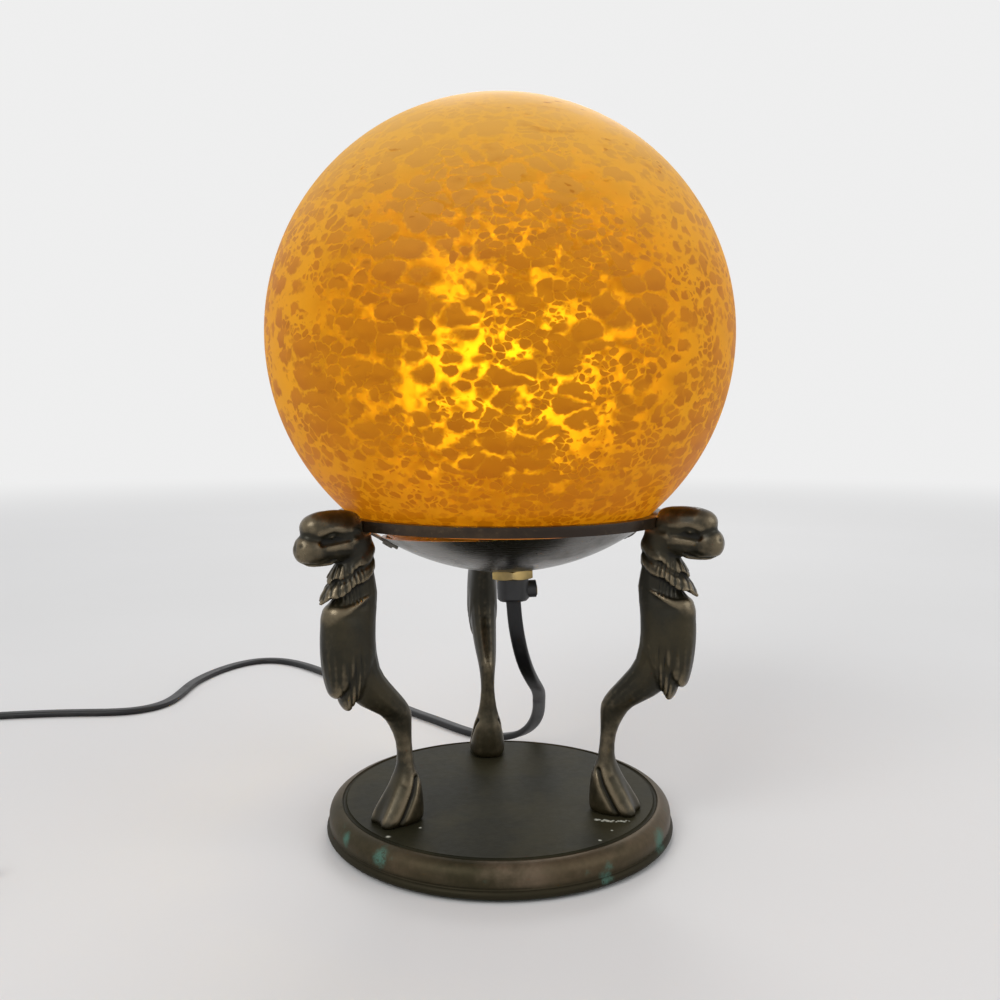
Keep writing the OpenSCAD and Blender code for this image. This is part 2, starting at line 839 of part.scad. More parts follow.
module holder_shell() {
  shell_z = holder_z + cap_h;
  seat_z = block_z + block_h;
  edge = 1;
  color(black)
    hung()
      difference() {
        union() {
          translate([0, 0, shell_z]) disc(shell_top - shell_z - edge, holder_r);
          translate([0, 0, shell_top - edge]) cone(edge, holder_r, holder_r - edge);
        }
        translate([0, 0, shell_z - e]) disc(seat_z - shell_z + 2 * e, holder_r - 1 - holder_wall);
        translate([0, 0, seat_z]) disc(sleeve_h + e, thread_r + sleeve_gap + sleeve_t + e);
        translate([0, 0, seat_z + sleeve_h - e]) disc(sleeve_h, bulb_skirt_r + 0.6);
      }
}

module inner_cord() {
  color([0.10, 0.10, 0.10])
    hung() translate([0, 0, grip_bottom]) flat_slot(block_z - 2.2 - grip_bottom, 0);
}

module bulb_contact() {
  half = pip_h / 2;
  color(steel)
    hung()
      translate([0, 0, bulb_z]) {
        cylinder(h = half, r1 = pip_r - 0.8, r2 = pip_r, $fn = small);
        translate([0, 0, half]) rod(half, pip_r);
      }
}

module bulb_insulator() {
  color(black)
    hung()
      translate([0, 0, bulb_z + pip_h]) cone(bulb_cap_z - bulb_z - pip_h + 1, pip_r + 2, thread_r - 1);
}

module bulb_cap() {
  rim_h = 1;
  skirt_at = cap_thread_h + cap_flare_h;
  inner_r = thread_r - cap_sheet;
  color(steel)
    hung()
      translate([0, 0, bulb_cap_z])
        difference() {
          union() {
            cone(rim_h, thread_r - 0.9, thread_r);
            translate([0, 0, rim_h]) disc(cap_thread_h - rim_h, thread_r);
            translate([0, 0, cap_thread_h]) cone(cap_flare_h, thread_r, bulb_skirt_r);
            translate([0, 0, skirt_at]) disc(cap_skirt_h, bulb_skirt_r);
          }
          translate([0, 0, rim_h]) disc(cap_thread_h - rim_h, inner_r);
          translate([0, 0, -e]) disc(rim_h + 2 * e, thread_r - 1);
          translate([0, 0, cap_thread_h - e]) cone(cap_flare_h + 2 * e, inner_r, bulb_skirt_r - cap_sheet);
          translate([0, 0, skirt_at]) disc(cap_skirt_h + 1, bulb_skirt_r - cap_sheet);
        }
}

module bulb_glass() {
  share = 0.75;                                         // where the neck leaves the sphere
  neck_top = bulb_mid - bulb_r * share;
  neck_wide = bulb_r * sqrt(1 - share * share);
  color([0.96, 0.96, 0.92, 0.6])
    hung()
      difference() {
        union() {
          translate([0, 0, bulb_mid]) sphere(r = bulb_r, $fn = fine);
          translate([0, 0, neck_z]) disc(neck_low - neck_z, neck_r);
          translate([0, 0, neck_low]) cone(neck_top - neck_low, neck_r, neck_wide);
        }
        translate([0, 0, bulb_mid]) sphere(r = bulb_r - bulb_wall, $fn = fine);
        translate([0, 0, neck_z - e]) disc(neck_low - neck_z + 2 * e, neck_r - bulb_wall);
        translate([0, 0, neck_low]) cone(neck_top - neck_low, neck_r - bulb_wall, neck_wide - bulb_wall);
      }
}

module bulb_stem() {
  flare_h = 0.8;
  cone_h = 10;
  stem_r = 1.4;
  color([0.9, 0.9, 0.9, 0.6])
    hung()
      translate([0, 0, neck_z - flare_h]) {
        disc(flare_h, neck_r);
        translate([0, 0, flare_h]) cylinder(h = cone_h, r1 = neck_r - 2, r2 = stem_r + 1, $fn = small);
        translate([0, 0, cone_h + flare_h - e]) rod(filament_z - neck_z - cone_h + e, stem_r);
      }
}

module bulb_filament() {
  bow_r = 9;
  wire_r = 0.5;
  color([0.8, 0.75, 0.65])
    hung() {
      translate([0, 0, bulb_mid])
        rotate([90, 0, 0])
          rotate_extrude(angle = 180, $fn = medium) translate([bow_r, 0]) circle(r = wire_r, $fn = small);
      for (x = [-bow_r, bow_r]) translate([x, 0, filament_z]) rod(bulb_mid - filament_z, wire_r);
      translate([-bow_r - wire_r, -wire_r, filament_z]) cube([2 * (bow_r + wire_r), 2 * wire_r, 1]);
    }
}

// Flex: rings stand square to the way with their flat side level. Where the flex hangs from the
// grip, the side turns from the grip's slot to level over the first points.
hang_turn = 5;
function ways(p) = [for (i = [0 : len(p) - 1]) unit(p[min(i + 1, len(p) - 1)] - p[max(i - 1, 0)])];
function level_side(way) = unit(cross(way, [0, 0, 1]));
function side_at(way, first, share) =
  let (side = mix(first, level_side(way), share))
  unit(side - (side * way) * way);
function flex_rings(p, w, first = undef) = [
  for (i = [0 : len(p) - 1])
    let (
      s = is_undef(first) ? level_side(w[i]) : side_at(w[i], first, min(i / hang_turn, 1)),
      n = cross(w[i], s)
    )
    [for (q = flat_section()) p[i] + q[0] * s + q[1] * n]
];

// Points on the pan's axis in the lamp's frame
axis_way = [sin(pan_lean) * cos(lean_turn), sin(pan_lean) * sin(lean_turn), cos(pan_lean)];
function on_axis(h) = [pan_shift, 0, rim_z] + h * axis_way;
cord_exit = on_axis(grip_bottom);

lead_points = concat(
  [cord_exit, cord_exit - cord_w * axis_way],
  hang_route,
  [for (p = table_route) [p[0], p[1], cord_z]],
  [[switch_x, switch_end + cord_w, switch_cord_z], [switch_x, switch_end, switch_cord_z]]
);
function with_ends(w, first, last) = [
  for (i = [0 : len(w) - 1]) i == 0 ? first : i == len(w) - 1 ? last : w[i]
];

module cord_lead() {
  w = with_ends(ways(lead_points), -axis_way, [0, -1, 0]);
  color(black) skin(flex_rings(lead_points, w, [1, 0, 0]));
}

// Coil: place of a point after t turns
function coil_r(t) = coil_out_r - coil_pitch * min(t, coil_turns - t);
function ease(x) = x <= 0 ? 0 : x >= 1 ? 1 : x * x * (3 - 2 * x);
function coil_height(t) = cord_z + coil_lift + coil_layer * ease((t - coil_turns / 2) / coil_climb + 0.5);
function coil_at(t) =
  let (a = coil_start + 360 * t)
  [coil_x + coil_r(t) * cos(a), coil_y + coil_r(t) * sin(a), coil_height(t)];
coil_steps = coil_turns * coil_rings;
coil_first = coil_at(0);
coil_last = coil_at(coil_turns);
last_angle = coil_start + 360 * coil_turns;
last_way = [-sin(last_angle), cos(last_angle), 0];
coil_points = concat(
  [coil_first + [0, cord_w, 0]],
  [for (i = [0 : coil_steps]) coil_at(i / coil_rings)],
  [coil_last + cord_w * last_way]
);

module cord_coil() {
  w = with_ends(ways(coil_points), [0, -1, 0], last_way);
  color(black) skin(flex_rings(coil_points, w));
}

// Least gap between turns, from centres half a turn or more apart along the coil:
// the best of the gaps across the flat sides, the narrow sides and the slanted corners
corner_way = unit([(1 - flat_t) * cord_t, (1 - flat_w) * cord_w]);
corner_reach = [flat_w * cord_w, cord_t] * corner_way;
coil_gap = min([
  for (i = [0 : coil_steps], j = [i + coil_rings / 2 : coil_steps])
    let (
      a = coil_at(i / coil_rings),
      b = coil_at(j / coil_rings),
      flat = norm([a[0] - b[0], a[1] - b[1]]),
      tall = abs(a[2] - b[2])
    )
    max(flat - cord_w, tall - cord_t, [flat, tall] * corner_way - corner_reach)
]);
echo(coil_gap = coil_gap);

run_points = concat(
  [for (step = [0, cord_w]) [switch_x, switch_end - switch_l - step, switch_cord_z]],
  [for (p = run_route) [p[0], p[1], cord_z]],
  [coil_first + [0, 2 * cord_w, 0], coil_first + [0, cord_w, 0]]
);

module cord_run() {
  w = with_ends(ways(run_points), [0, -1, 0], [0, -1, 0]);
  color(black) skin(flex_rings(run_points, w));
}

tail_start = coil_last + cord_w * last_way;
tail_end = [plug_x - relief_l, tail_start[1] - 2, plug_h / 2];
tail_points = [
  tail_start,
  tail_start + [cord_w / 2, 0, 0],
  mix(tail_start, tail_end, 0.5),
  tail_end - [cord_w / 2, 0, 0],
  tail_end
];

module cord_tail() {
  w = with_ends(ways(tail_points), [1, 0, 0], [1, 0, 0]);
  color(black) skin(flex_rings(tail_points, w));
}

module coil_tie() {
  low = coil_r(coil_turns / 2) - cord_w / 2 - 1;
  high = coil_out_r + cord_w / 2 + 0.6;
  tall = coil_lift + coil_layer + cord_t + 0.3;
  color([0.85, 0.85, 0.82])
    translate([coil_x, coil_y, 0])
      rotate([0, 0, tie_angle])
        translate([low - tie_t, -tie_w / 2, 0])
          difference() {
            cube([high - low + 2 * tie_t, tie_w, tall + tie_t]);
            translate([tie_t, -e, tie_t]) cube([high - low, tie_w + 2 * e, tall - tie_t]);
          }
}

// Switch: seen from above an oblong with narrowed ends
module switch_outline(grow) {
  half = switch_l / 2 + grow;
  wide = switch_w / 2 + grow;
  end_w = switch_w * 0.27 + grow;
  body = half * 0.55;
  polygon([
    [-wide, -body], [-end_w, -half], [end_w, -half], [wide, -body],
    [wide, body], [end_w, half], [-end_w, half], [-wide, body]
  ]);
}

module at_switch() {
  translate([switch_x, switch_end - switch_l / 2, 0]) children();
}

module switch_lower() {
  floor_t = 2;
  wall = 6;
  color(black)
    at_switch()
      difference() {
        linear_extrude(height = switch_split) switch_outline(0);
        translate([0, 0, floor_t]) linear_extrude(height = switch_split) switch_outline(-wall);
        for (s = [-1, 1]) translate([0, s * switch_screw_y, -e]) {
          rod(switch_split + 1, switch_screw_r + 0.3);
          rod(floor_t, switch_screw_head_r + e);
        }
      }
}

module switch_upper() {
  edge_h = 1.6;
  top_h = 3;
  seat_z = switch_split - 1;
  room = [rocker_w + 0.8, rocker_l + 0.8, switch_h];
  bearing = rocker_w + 5;
  color(black)
    at_switch()
      difference() {
        union() {
          translate([0, 0, switch_split + fit])
            linear_extrude(height = switch_h - top_h - switch_split) switch_outline(0);
          translate([0, 0, switch_h - top_h]) linear_extrude(height = edge_h) switch_outline(-1);
        }
        translate([-room[0] / 2, -room[1] / 2, seat_z]) cube(room);
        translate([-bearing / 2, 0, rocker_z]) rotate([0, 90, 0]) rod(bearing, rocker_pin_r + fit);
        for (s = [-1, 1]) translate([0, s * switch_screw_y, seat_z]) rod(6, switch_screw_r + fit);
      }
}

module switch_rocker() {
  block = [rocker_w, rocker_l - 1, 9];
  crown_r = rocker_l / 2 - 0.2;
  dip_r = rocker_l / 2 + 8.2;                           // hollow worn for the finger
  axle_l = rocker_w + 4.6;
  color([0.12, 0.12, 0.12])
    at_switch()
      translate([0, 0, rocker_z])
        rotate([rocker_tilt, 0, 0]) {
          intersection() {
            translate([-block[0] / 2, -block[1] / 2, -3.5]) cube(block);
            difference() {
              translate([-rocker_w / 2, 0, 0]) rotate([0, 90, 0]) drum(rocker_w, crown_r);
              translate([-rocker_w, 0, rocker_l / 2 + 12]) rotate([0, 90, 0]) drum(2 * rocker_w, dip_r);
            }
          }
          translate([-axle_l / 2, 0, 0]) rotate([0, 90, 0]) rod(axle_l, rocker_pin_r);
        }
}

module switch_screws() {
  color(steel)
    at_switch()
      for (s = [-1, 1]) translate([0, s * switch_screw_y, 0.3]) {
        rod(1.5, switch_screw_head_r);
        rod(switch_split + 3.5, switch_screw_r);
      }
}

module at_plug() {
  translate([plug_x, tail_end[1], 0]) children();
}

module plug_body() {
  half = plug_w / 2;
  nose = 4.4;                                           // half width where the relief begins
  low = 2.6;
  rib = 4;
  notch = 1.2;
  plan = [[0, nose], [6, nose + 0.8], [16, half - 3], [22, half], [plug_l, half]];
  flank = [[0, low], [8, 0.8], [20, 0], [plug_l, 0]];
  color(black)
    at_plug() {
      intersection() {
        linear_extrude(height = plug_h)
          polygon(concat([for (p = plan) [p[0], -p[1]]], [for (p = upward(plan)) p]));
        rotate([90, 0, 0])
          translate([0, 0, -half - 1])
            linear_extrude(height = plug_w + 2)
              polygon(concat(flank, [for (p = upward(flank)) [p[0], plug_h - p[1]]]));
      }
      difference() {
        translate([-relief_l, 0, plug_h / 2]) rotate([0, 90, 0]) cone(relief_l + 1, 3.8, 4.3);
        for (i = [0 : 3], y = [-5, 3])
          translate([-relief_l + 3 + rib * i, y, -e]) cube([notch, 2, plug_h]);
      }
    }
}

module plug_pins() {
  bevel = 1;
  color(steel)
    at_plug()
      for (s = [-1, 1])
        translate([plug_l, s * pin_gap / 2, plug_h / 2])
          rotate([0, 90, -s * pin_lean]) {
            translate([0, 0, e]) rod(pin_l - bevel - e, pin_r);
            translate([0, 0, pin_l - bevel]) cylinder(h = bevel, r1 = pin_r, r2 = pin_r - 0.8, $fn = small);
          }
}

module leg_left() {
  leg(leg_angles[0]);
}

module leg_right() {
  leg(leg_angles[1]);
}

module leg_rear() {
  leg(leg_angles[2]);
}

base_plate();
base_felt();
leg_left();
leg_right();
leg_rear();
leg_screws();
leg_washers();
gallery_ring();
ring_screws();
globe();
pan_hangers();
hanger_screws();
hanger_rivets();
dish();
threaded_tube();
hex_nut();
tube_washer();
lock_nut();
cord_grip();
cord_grip_screw();
holder_cap();
holder_insulator();
holder_thread();
holder_contact();
holder_terminals();
holder_shell();
inner_cord();
bulb_contact();
bulb_insulator();
bulb_cap();
bulb_glass();
bulb_stem();
bulb_filament();
cord_lead();
cord_run();
cord_coil();
cord_tail();
coil_tie();
switch_lower();
switch_upper();
switch_rocker();
switch_screws();
plug_body();
plug_pins();
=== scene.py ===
# Globe table lamp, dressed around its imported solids. Metres, +Z up, rear leg on +Y.
import bpy
import json
import math
import numpy as np
from mathutils import Matrix, Vector


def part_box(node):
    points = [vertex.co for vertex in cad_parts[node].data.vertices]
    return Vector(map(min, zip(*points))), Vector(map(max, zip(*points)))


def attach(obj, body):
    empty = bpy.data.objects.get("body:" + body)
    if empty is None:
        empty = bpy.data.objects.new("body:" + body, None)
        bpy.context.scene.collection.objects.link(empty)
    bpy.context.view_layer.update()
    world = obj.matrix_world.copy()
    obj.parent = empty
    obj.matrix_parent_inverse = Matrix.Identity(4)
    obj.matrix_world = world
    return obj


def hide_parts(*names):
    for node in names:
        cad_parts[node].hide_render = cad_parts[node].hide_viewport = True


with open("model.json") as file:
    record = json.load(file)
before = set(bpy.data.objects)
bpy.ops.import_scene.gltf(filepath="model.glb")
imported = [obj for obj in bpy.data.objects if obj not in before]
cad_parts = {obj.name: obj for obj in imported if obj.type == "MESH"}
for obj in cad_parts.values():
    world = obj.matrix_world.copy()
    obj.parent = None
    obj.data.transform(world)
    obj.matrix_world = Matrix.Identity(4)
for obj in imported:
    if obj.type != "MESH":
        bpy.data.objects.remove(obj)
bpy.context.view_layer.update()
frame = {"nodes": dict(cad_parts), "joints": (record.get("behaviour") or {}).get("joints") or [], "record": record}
nodes = frame["nodes"]
mm = 0.001


# Camera, floor and light

viewpoint = {
    "distance": 0.3939,        # from the lamp's axis, on plan
    "height": 0.1652,
    "turn": 7.0,               # degrees to the left of straight ahead
    "tilt": 4.7,               # degrees downwards
    "lens": 35.55,             # mm, on a frame of the width below
    "sensor": 36,
    "nearest": 0.01,           # metres from the camera at which it begins to see
}

studio = {
    "floorColour": ((0.74, 0.73, 0.71), (0.80, 0.79, 0.775)),
    "backColour": (0.86, 0.86, 0.86),
    "floorReach": 14.0,
    "floorGrid": 8,
    "fade": (0.5, 2.6),        # metres from the lamp over which the floor turns into the backdrop
    "worldColour": (0.93, 0.95, 1.0),
    "worldStrength": 0.55,
    "lamps": {
        # name: place, size, watts
        "keyLight": ((-0.9, -1.0, 1.2), 0.9, 11.0),
        "fillLight": ((1.2, -0.7, 0.8), 1.0, 5.0),
        "rimLight": ((0.3, 1.3, 1.2), 0.8, 7.0),
    },
    "lampTarget": (0, 0, 0.13),
}


def placeCamera():
    bpy.context.scene.view_settings.view_transform = "Standard"
    view = viewpoint
    turn, tilt = math.radians(view["turn"]), math.radians(view["tilt"])
    aside, forward = math.sin(turn), math.cos(turn)
    ahead = Vector((aside * math.cos(tilt), forward * math.cos(tilt), -math.sin(tilt)))
    camera = bpy.data.objects.new("camera", bpy.data.cameras.new("camera"))
    bpy.context.scene.collection.objects.link(camera)
    camera.data.lens = view["lens"]
    camera.data.sensor_width = view["sensor"]
    camera.data.clip_start = view["nearest"]
    camera.location = (-view["distance"] * aside, -view["distance"] * forward, view["height"])
    camera.rotation_euler = ahead.to_track_quat("-Z", "Y").to_euler()
    bpy.context.scene.camera = camera


def lightStudio():
    for name, (place, size, watts) in studio["lamps"].items():
        lamp = bpy.data.objects.new(name, bpy.data.lights.new(name, "AREA"))
        bpy.context.scene.collection.objects.link(lamp)
        lamp.data.size = size
        lamp.data.energy = watts
        lamp.location = place
        aim = Vector(studio["lampTarget"]) - Vector(place)
        lamp.rotation_euler = aim.to_track_quat("-Z", "Y").to_euler()


def lightWorld():
    # Straight, mirrored and refracted rays see the backdrop's colour, all others the ambient light
    f = Finish("paleRoom", world=True)
    anyRay = f.node("LightPath", output="Is Camera Ray")
    for ray in ("Is Glossy Ray", "Is Transmission Ray"):
        anyRay = anyRay.atLeast(f.node("LightPath", output=ray))
    seen = f.node("Background", None, {"Color": (*studio["backColour"], 1)})
    ambient = f.node("Background", None, {
        "Color": (*studio["worldColour"], 1), "Strength": studio["worldStrength"],
    })
    bpy.context.scene.world = f.show(f.node("MixShader", None, {0: anyRay, 1: ambient, 2: seen}))


def layFloor():
    reach, grid = studio["floorReach"], studio["floorGrid"]
    bpy.ops.mesh.primitive_grid_add(x_subdivisions=grid, y_subdivisions=grid, size=reach)
    floor = bpy.context.object
    floor.name = "floor"
    f = Finish("paleFloor")
    mottle = f.noise(3, 4, 0.5)
    low, high = studio["floorColour"]
    colour = f.mixed(mottle, low, high)
    ground = f.surface(Base_Color=colour, Roughness=0.6 + mottle * 0.1, Specular_IOR_Level=0.2)
    # Far off, the floor fades into the backdrop's own colour
    away = f.vector("LENGTH", f.place, output="Value")
    backdrop = f.node("Emission", None, {"Color": (*studio["backColour"], 1), "Strength": 1.0})
    seen = f.node("LightPath", output="Is Camera Ray")
    share = f.step(away, *studio["fade"]) * seen
    floor.data.materials.append(f.show(f.node("MixShader", None, {0: share, 1: ground, 2: backdrop})))


# Node maths: a wire is a socket that takes part in plain expressions

class Wire:
    def __init__(self, finish, socket):
        self.finish, self.socket = finish, socket

    def maths(self, operation, first, second):
        return self.finish.node("Math", {"operation": operation}, {0: first, 1: second})

    def __add__(self, other):
        return self.maths("ADD", self, other)

    def __sub__(self, other):
        return self.maths("SUBTRACT", self, other)

    def __rsub__(self, other):
        return self.maths("SUBTRACT", other, self)

    def __mul__(self, other):
        return self.maths("MULTIPLY", self, other)

    __radd__ = __add__
    __rmul__ = __mul__

    def atLeast(self, other):
        return self.maths("MAXIMUM", self, other)

    def atMost(self, other):
        return self.maths("MINIMUM", self, other)


class Finish:
    def __init__(self, name, world=False):
        self.owner = (bpy.data.worlds if world else bpy.data.materials).new(name)
        self.owner.use_nodes = True
        self.tree = self.owner.node_tree
        self.tree.nodes.clear()
        self.output = self.node("OutputWorld" if world else "OutputMaterial", output=None)
        self.place = None if world else self.node("TexCoord", output="Object")

    def node(self, kind, settings=None, values=None, output=0):
        made = self.tree.nodes.new("ShaderNode" + kind)
        for key, value in (settings or {}).items():
            setattr(made, key, value)
        for key, value in (values or {}).items():
            if isinstance(value, Wire):
                self.tree.links.new(value.socket, made.inputs[key])
            else:
                made.inputs[key].default_value = value
        return made if output is None else Wire(self, made.outputs[output])

    def vector(self, operation, *values, output="Vector", **named):
        values = {**dict(enumerate(values)), **named}
        return self.node("VectorMath", {"operation": operation}, values, output)

    def noise(self, scale, detail=4, rough=0.5, place=None, twist=0):
        return self.node("TexNoise", None, {
            "Vector": place or self.place, "Scale": scale, "Detail": detail,
            "Roughness": rough, "Distortion": twist,
        })

    def cells(self, scale, place=None, feature="F1"):
        values = {"Vector": place or self.place, "Scale": scale}
        return self.node("TexVoronoi", {"feature": feature}, values)

    def stretched(self, scale=(1, 1, 1), turn=(0, 0, 0), shift=(0, 0, 0), place=None):
        return self.node("Mapping", None, {
            "Vector": place or self.place, "Location": shift, "Rotation": turn, "Scale": scale,
        })

    def step(self, value, low, high):
        settings = {"interpolation_type": "SMOOTHSTEP"}
        return self.node("MapRange", settings, {"Value": value, "From Min": low, "From Max": high})

    def mixed(self, share, first, second):
        first, second = [(*c, 1) if isinstance(c, tuple) else c for c in (first, second)]
        return self.node("Mix", {"data_type": "RGBA"}, {0: share, 6: first, 7: second}, output=2)

    def axis(self, letter, place=None):
        return self.node("SeparateXYZ", None, {0: place or self.place}, output=letter)

    def fromAxis(self, place=None):
        flat = self.vector("MULTIPLY", place or self.place, (1, 1, 0))
        return self.vector("LENGTH", flat, output="Value")

    def fromPoint(self, point):
        return self.vector("DISTANCE", self.place, point, output="Value")

    def bump(self, height, depth, strength):
        return self.node("Bump", None, {"Height": height, "Distance": depth, "Strength": strength})

    def surface(self, **sockets):
        return self.node("BsdfPrincipled", None, {
            key.replace("_", " "): (*value, 1) if isinstance(value, tuple) else value
            for key, value in sockets.items()
        })

    def show(self, shader):
        self.tree.links.new(shader.socket, self.output.inputs["Surface"])
        return self.owner


# Mesh helpers

mergeReach = 0.00001           # corners of a solid's triangles that lie this close are one


def onlySelect(piece):
    if bpy.context.object and bpy.context.object.mode != "OBJECT":
        bpy.ops.object.mode_set(mode="OBJECT")
    bpy.ops.object.select_all(action="DESELECT")
    piece.select_set(True)
    bpy.context.view_layer.objects.active = piece


def meshPiece(name, points, faces):
    mesh = bpy.data.meshes.new(name)
    mesh.from_pydata([tuple(p) for p in points], [], faces)
    piece = bpy.data.objects.new(name, mesh)
    bpy.context.scene.collection.objects.link(piece)
    return piece


def solidCopy(name, node, turn=0, flattest=0):
    # A solid's mesh is loose triangles, so its copy is merged before it is worked on.
    # Facets of one face that lean less than flattest degrees apart are joined.
    piece = bpy.data.objects.new(name, nodes[node].data.copy())
    bpy.context.scene.collection.objects.link(piece)
    if turn:
        piece.data.transform(Matrix.Rotation(turn, 4, "Z"))
    onlySelect(piece)
    bpy.ops.object.mode_set(mode="EDIT")
    bpy.ops.mesh.select_all(action="SELECT")
    bpy.ops.mesh.remove_doubles(threshold=mergeReach)
    bpy.ops.mesh.normals_make_consistent(inside=False)
    if flattest:
        bpy.ops.mesh.dissolve_limited(angle_limit=math.radians(flattest))
    bpy.ops.object.mode_set(mode="OBJECT")
    return piece


def dress(piece, body, slot, material, *replaced):
    piece.data.materials.clear()
    piece.data.materials.append(material)
    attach(piece, body)
    if replaced:
        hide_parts(*replaced)


# Flex: the route's points are the solids' own, listed in millimetres and laid in metres

axisWay = Vector(next(j for j in frame["joints"] if j["name"] == "bulb_rise")["axis"]).normalized()
panTop = Vector((0.0044, 0, 0.1203))

flex = {
    "width": 0.006,
    "thickness": 0.0034,
    "sides": 20,
    "step": 0.0015,
    "gripBottom": -0.0281,
    "hang": [
        (6, -2, 82), (8, 1, 73), (11, 7, 64), (15, 17, 56), (19, 29, 49), (23, 42, 42), (25, 55, 34),
        (27, 67, 26), (27, 78, 17), (24, 88, 9), (18, 96, 4),
    ],
    "table": [
        (8, 103), (-2, 112), (-10, 123), (-18, 135), (-27, 147), (-36, 161), (-45, 176), (-54, 191),
        (-62, 206), (-70, 221), (-78, 236), (-87, 250), (-97, 264), (-108, 276), (-120, 283),
        (-132, 282), (-143, 273), (-152, 260), (-159, 245), (-164, 229), (-166, 213), (-168, 198),
        (-172, 184), (-181, 175), (-194, 172), (-209, 173), (-225, 174), (-241, 174), (-258, 173),
        (-275, 171), (-290, 165), (-301, 155), (-308, 144),
    ],
    "run": [(-311.6, 55), (-314.6, 44), (-319.4, 34), (-324.4, 25)],
    "switchX": -0.311,
    "switchEnds": (0.130, 0.070),
    "switchZ": 0.0032,
    "evening": 40,             # rounds that even the bends of the lead out
    "turnLength": 0.06,        # over which the flat side turns level below the grip
    "squareness": (0.62, 0.72),  # powers below 1 that square the section, across and upwards
    "valleyDepth": 0.10,       # of the dip between the two cores, as a share of the thickness
    "valleyWidth": 0.22,
    "smoothAngle": 50,
    "leadLength": 0.67,
    "endLength": 1.18,
    "sheath": (0.008, 0.008, 0.009),
    "scuffed": (0.022, 0.021, 0.020),
}

coil = {
    "centre": (-0.285, 0.005),
    "turns": 5.25,
    "pitch": 0.007,
    "layer": 0.0042,
    "climb": 0.5,              # turns over which the flex climbs to the upper layer
    "lift": 0.0007,
    "outerRadius": 0.0421875,
    "start": 180,
    "perTurn": 24,
    "plugX": -0.262,
    "plugZ": 0.00685,
    "plugAside": 0.002,
}


def ease(x):
    x = min(max(x, 0), 1)
    return x * x * (3 - 2 * x)


def coilPoint(t):
    c = coil
    radius = c["outerRadius"] - c["pitch"] * min(t, c["turns"] - t)
    angle = math.radians(c["start"] + 360 * t)
    climbed = ease((t - c["turns"] / 2) / c["climb"] + 0.5)
    x, y = c["centre"]
    height = flex["thickness"] / 2 + c["lift"] + c["layer"] * climbed
    return Vector((x + radius * math.cos(angle), y + radius * math.sin(angle), height))


def smoothWay(points, step):
    # A curve through all the points, in nearly even steps, with each end run on straight
    p = np.array([points[0] * 2 - points[1], *points, points[-1] * 2 - points[-2]])
    way = []
    for i in range(1, len(p) - 2):
        a, b, c, d = p[i - 1 : i + 3]
        count = max(2, int(round(np.linalg.norm(c - b) / step)))
        pull, bow, swing = c - a, 2 * a - 5 * b + 4 * c - d, 3 * b - a - 3 * c + d
        for t in np.arange(count) / count:
            way.append(b + (t * pull + t**2 * bow + t**3 * swing) / 2)
    return np.array([*way, p[-2]])


def flatSide(way):
    side = np.cross(way, (0, 0, 1))
    return side / max(np.linalg.norm(side), 1e-9)


def sweepFlex(name, points, firstSide=None, firstWay=None, evening=0):
    # The flat side lies level, and turns from firstSide to level over the first part of a hanging stretch
    way = smoothWay([Vector(p) for p in points], flex["step"])
    for _ in range(evening):
        way[1:-1] = way[1:-1] / 2 + (way[:-2] + way[2:]) / 4
    way[:, 2] = np.maximum(way[:, 2], flex["thickness"] / 2)
    heading = np.gradient(way, axis=0)
    if firstWay is not None:
        heading[0] = firstWay
    heading /= np.linalg.norm(heading, axis=1)[:, None]
    turning = flex["turnLength"] / flex["step"]
    squareAcross, squareUp = flex["squareness"]
    ringPoints = []
    for i, (place, ahead) in enumerate(zip(way, heading)):
        side = flatSide(ahead)
        if firstSide is not None and i < turning:
            share = ease(i / turning)
            side = np.array(firstSide) * (1 - share) + side * share
        side = side - ahead * side.dot(ahead)
        side /= np.linalg.norm(side)
        up = np.cross(ahead, side)
        for j in range(flex["sides"]):
            angle = 2 * math.pi * j / flex["sides"]
            across = math.copysign(abs(math.cos(angle)) ** squareAcross, math.cos(angle))
            tall = math.copysign(abs(math.sin(angle)) ** squareUp, math.sin(angle))
            tall *= 1 - flex["valleyDepth"] * math.exp(-((across / flex["valleyWidth"]) ** 2))
            ringPoints.append(place + (side * across * flex["width"] + up * tall * flex["thickness"]) / 2)
    n, rings = flex["sides"], len(way)
    faces = [
        (i * n + j, i * n + (j + 1) % n, (i + 1) * n + (j + 1) % n, (i + 1) * n + j)
        for i in range(rings - 1) for j in range(n)
    ]
    faces += [tuple(range(n - 1, -1, -1)), tuple((rings - 1) * n + j for j in range(n))]
    piece = meshPiece(name, ringPoints, faces)
    onlySelect(piece)
    bpy.ops.object.shade_smooth_by_angle(angle=math.radians(flex["smoothAngle"]))
    return piece, [tuple(p) for p in way]


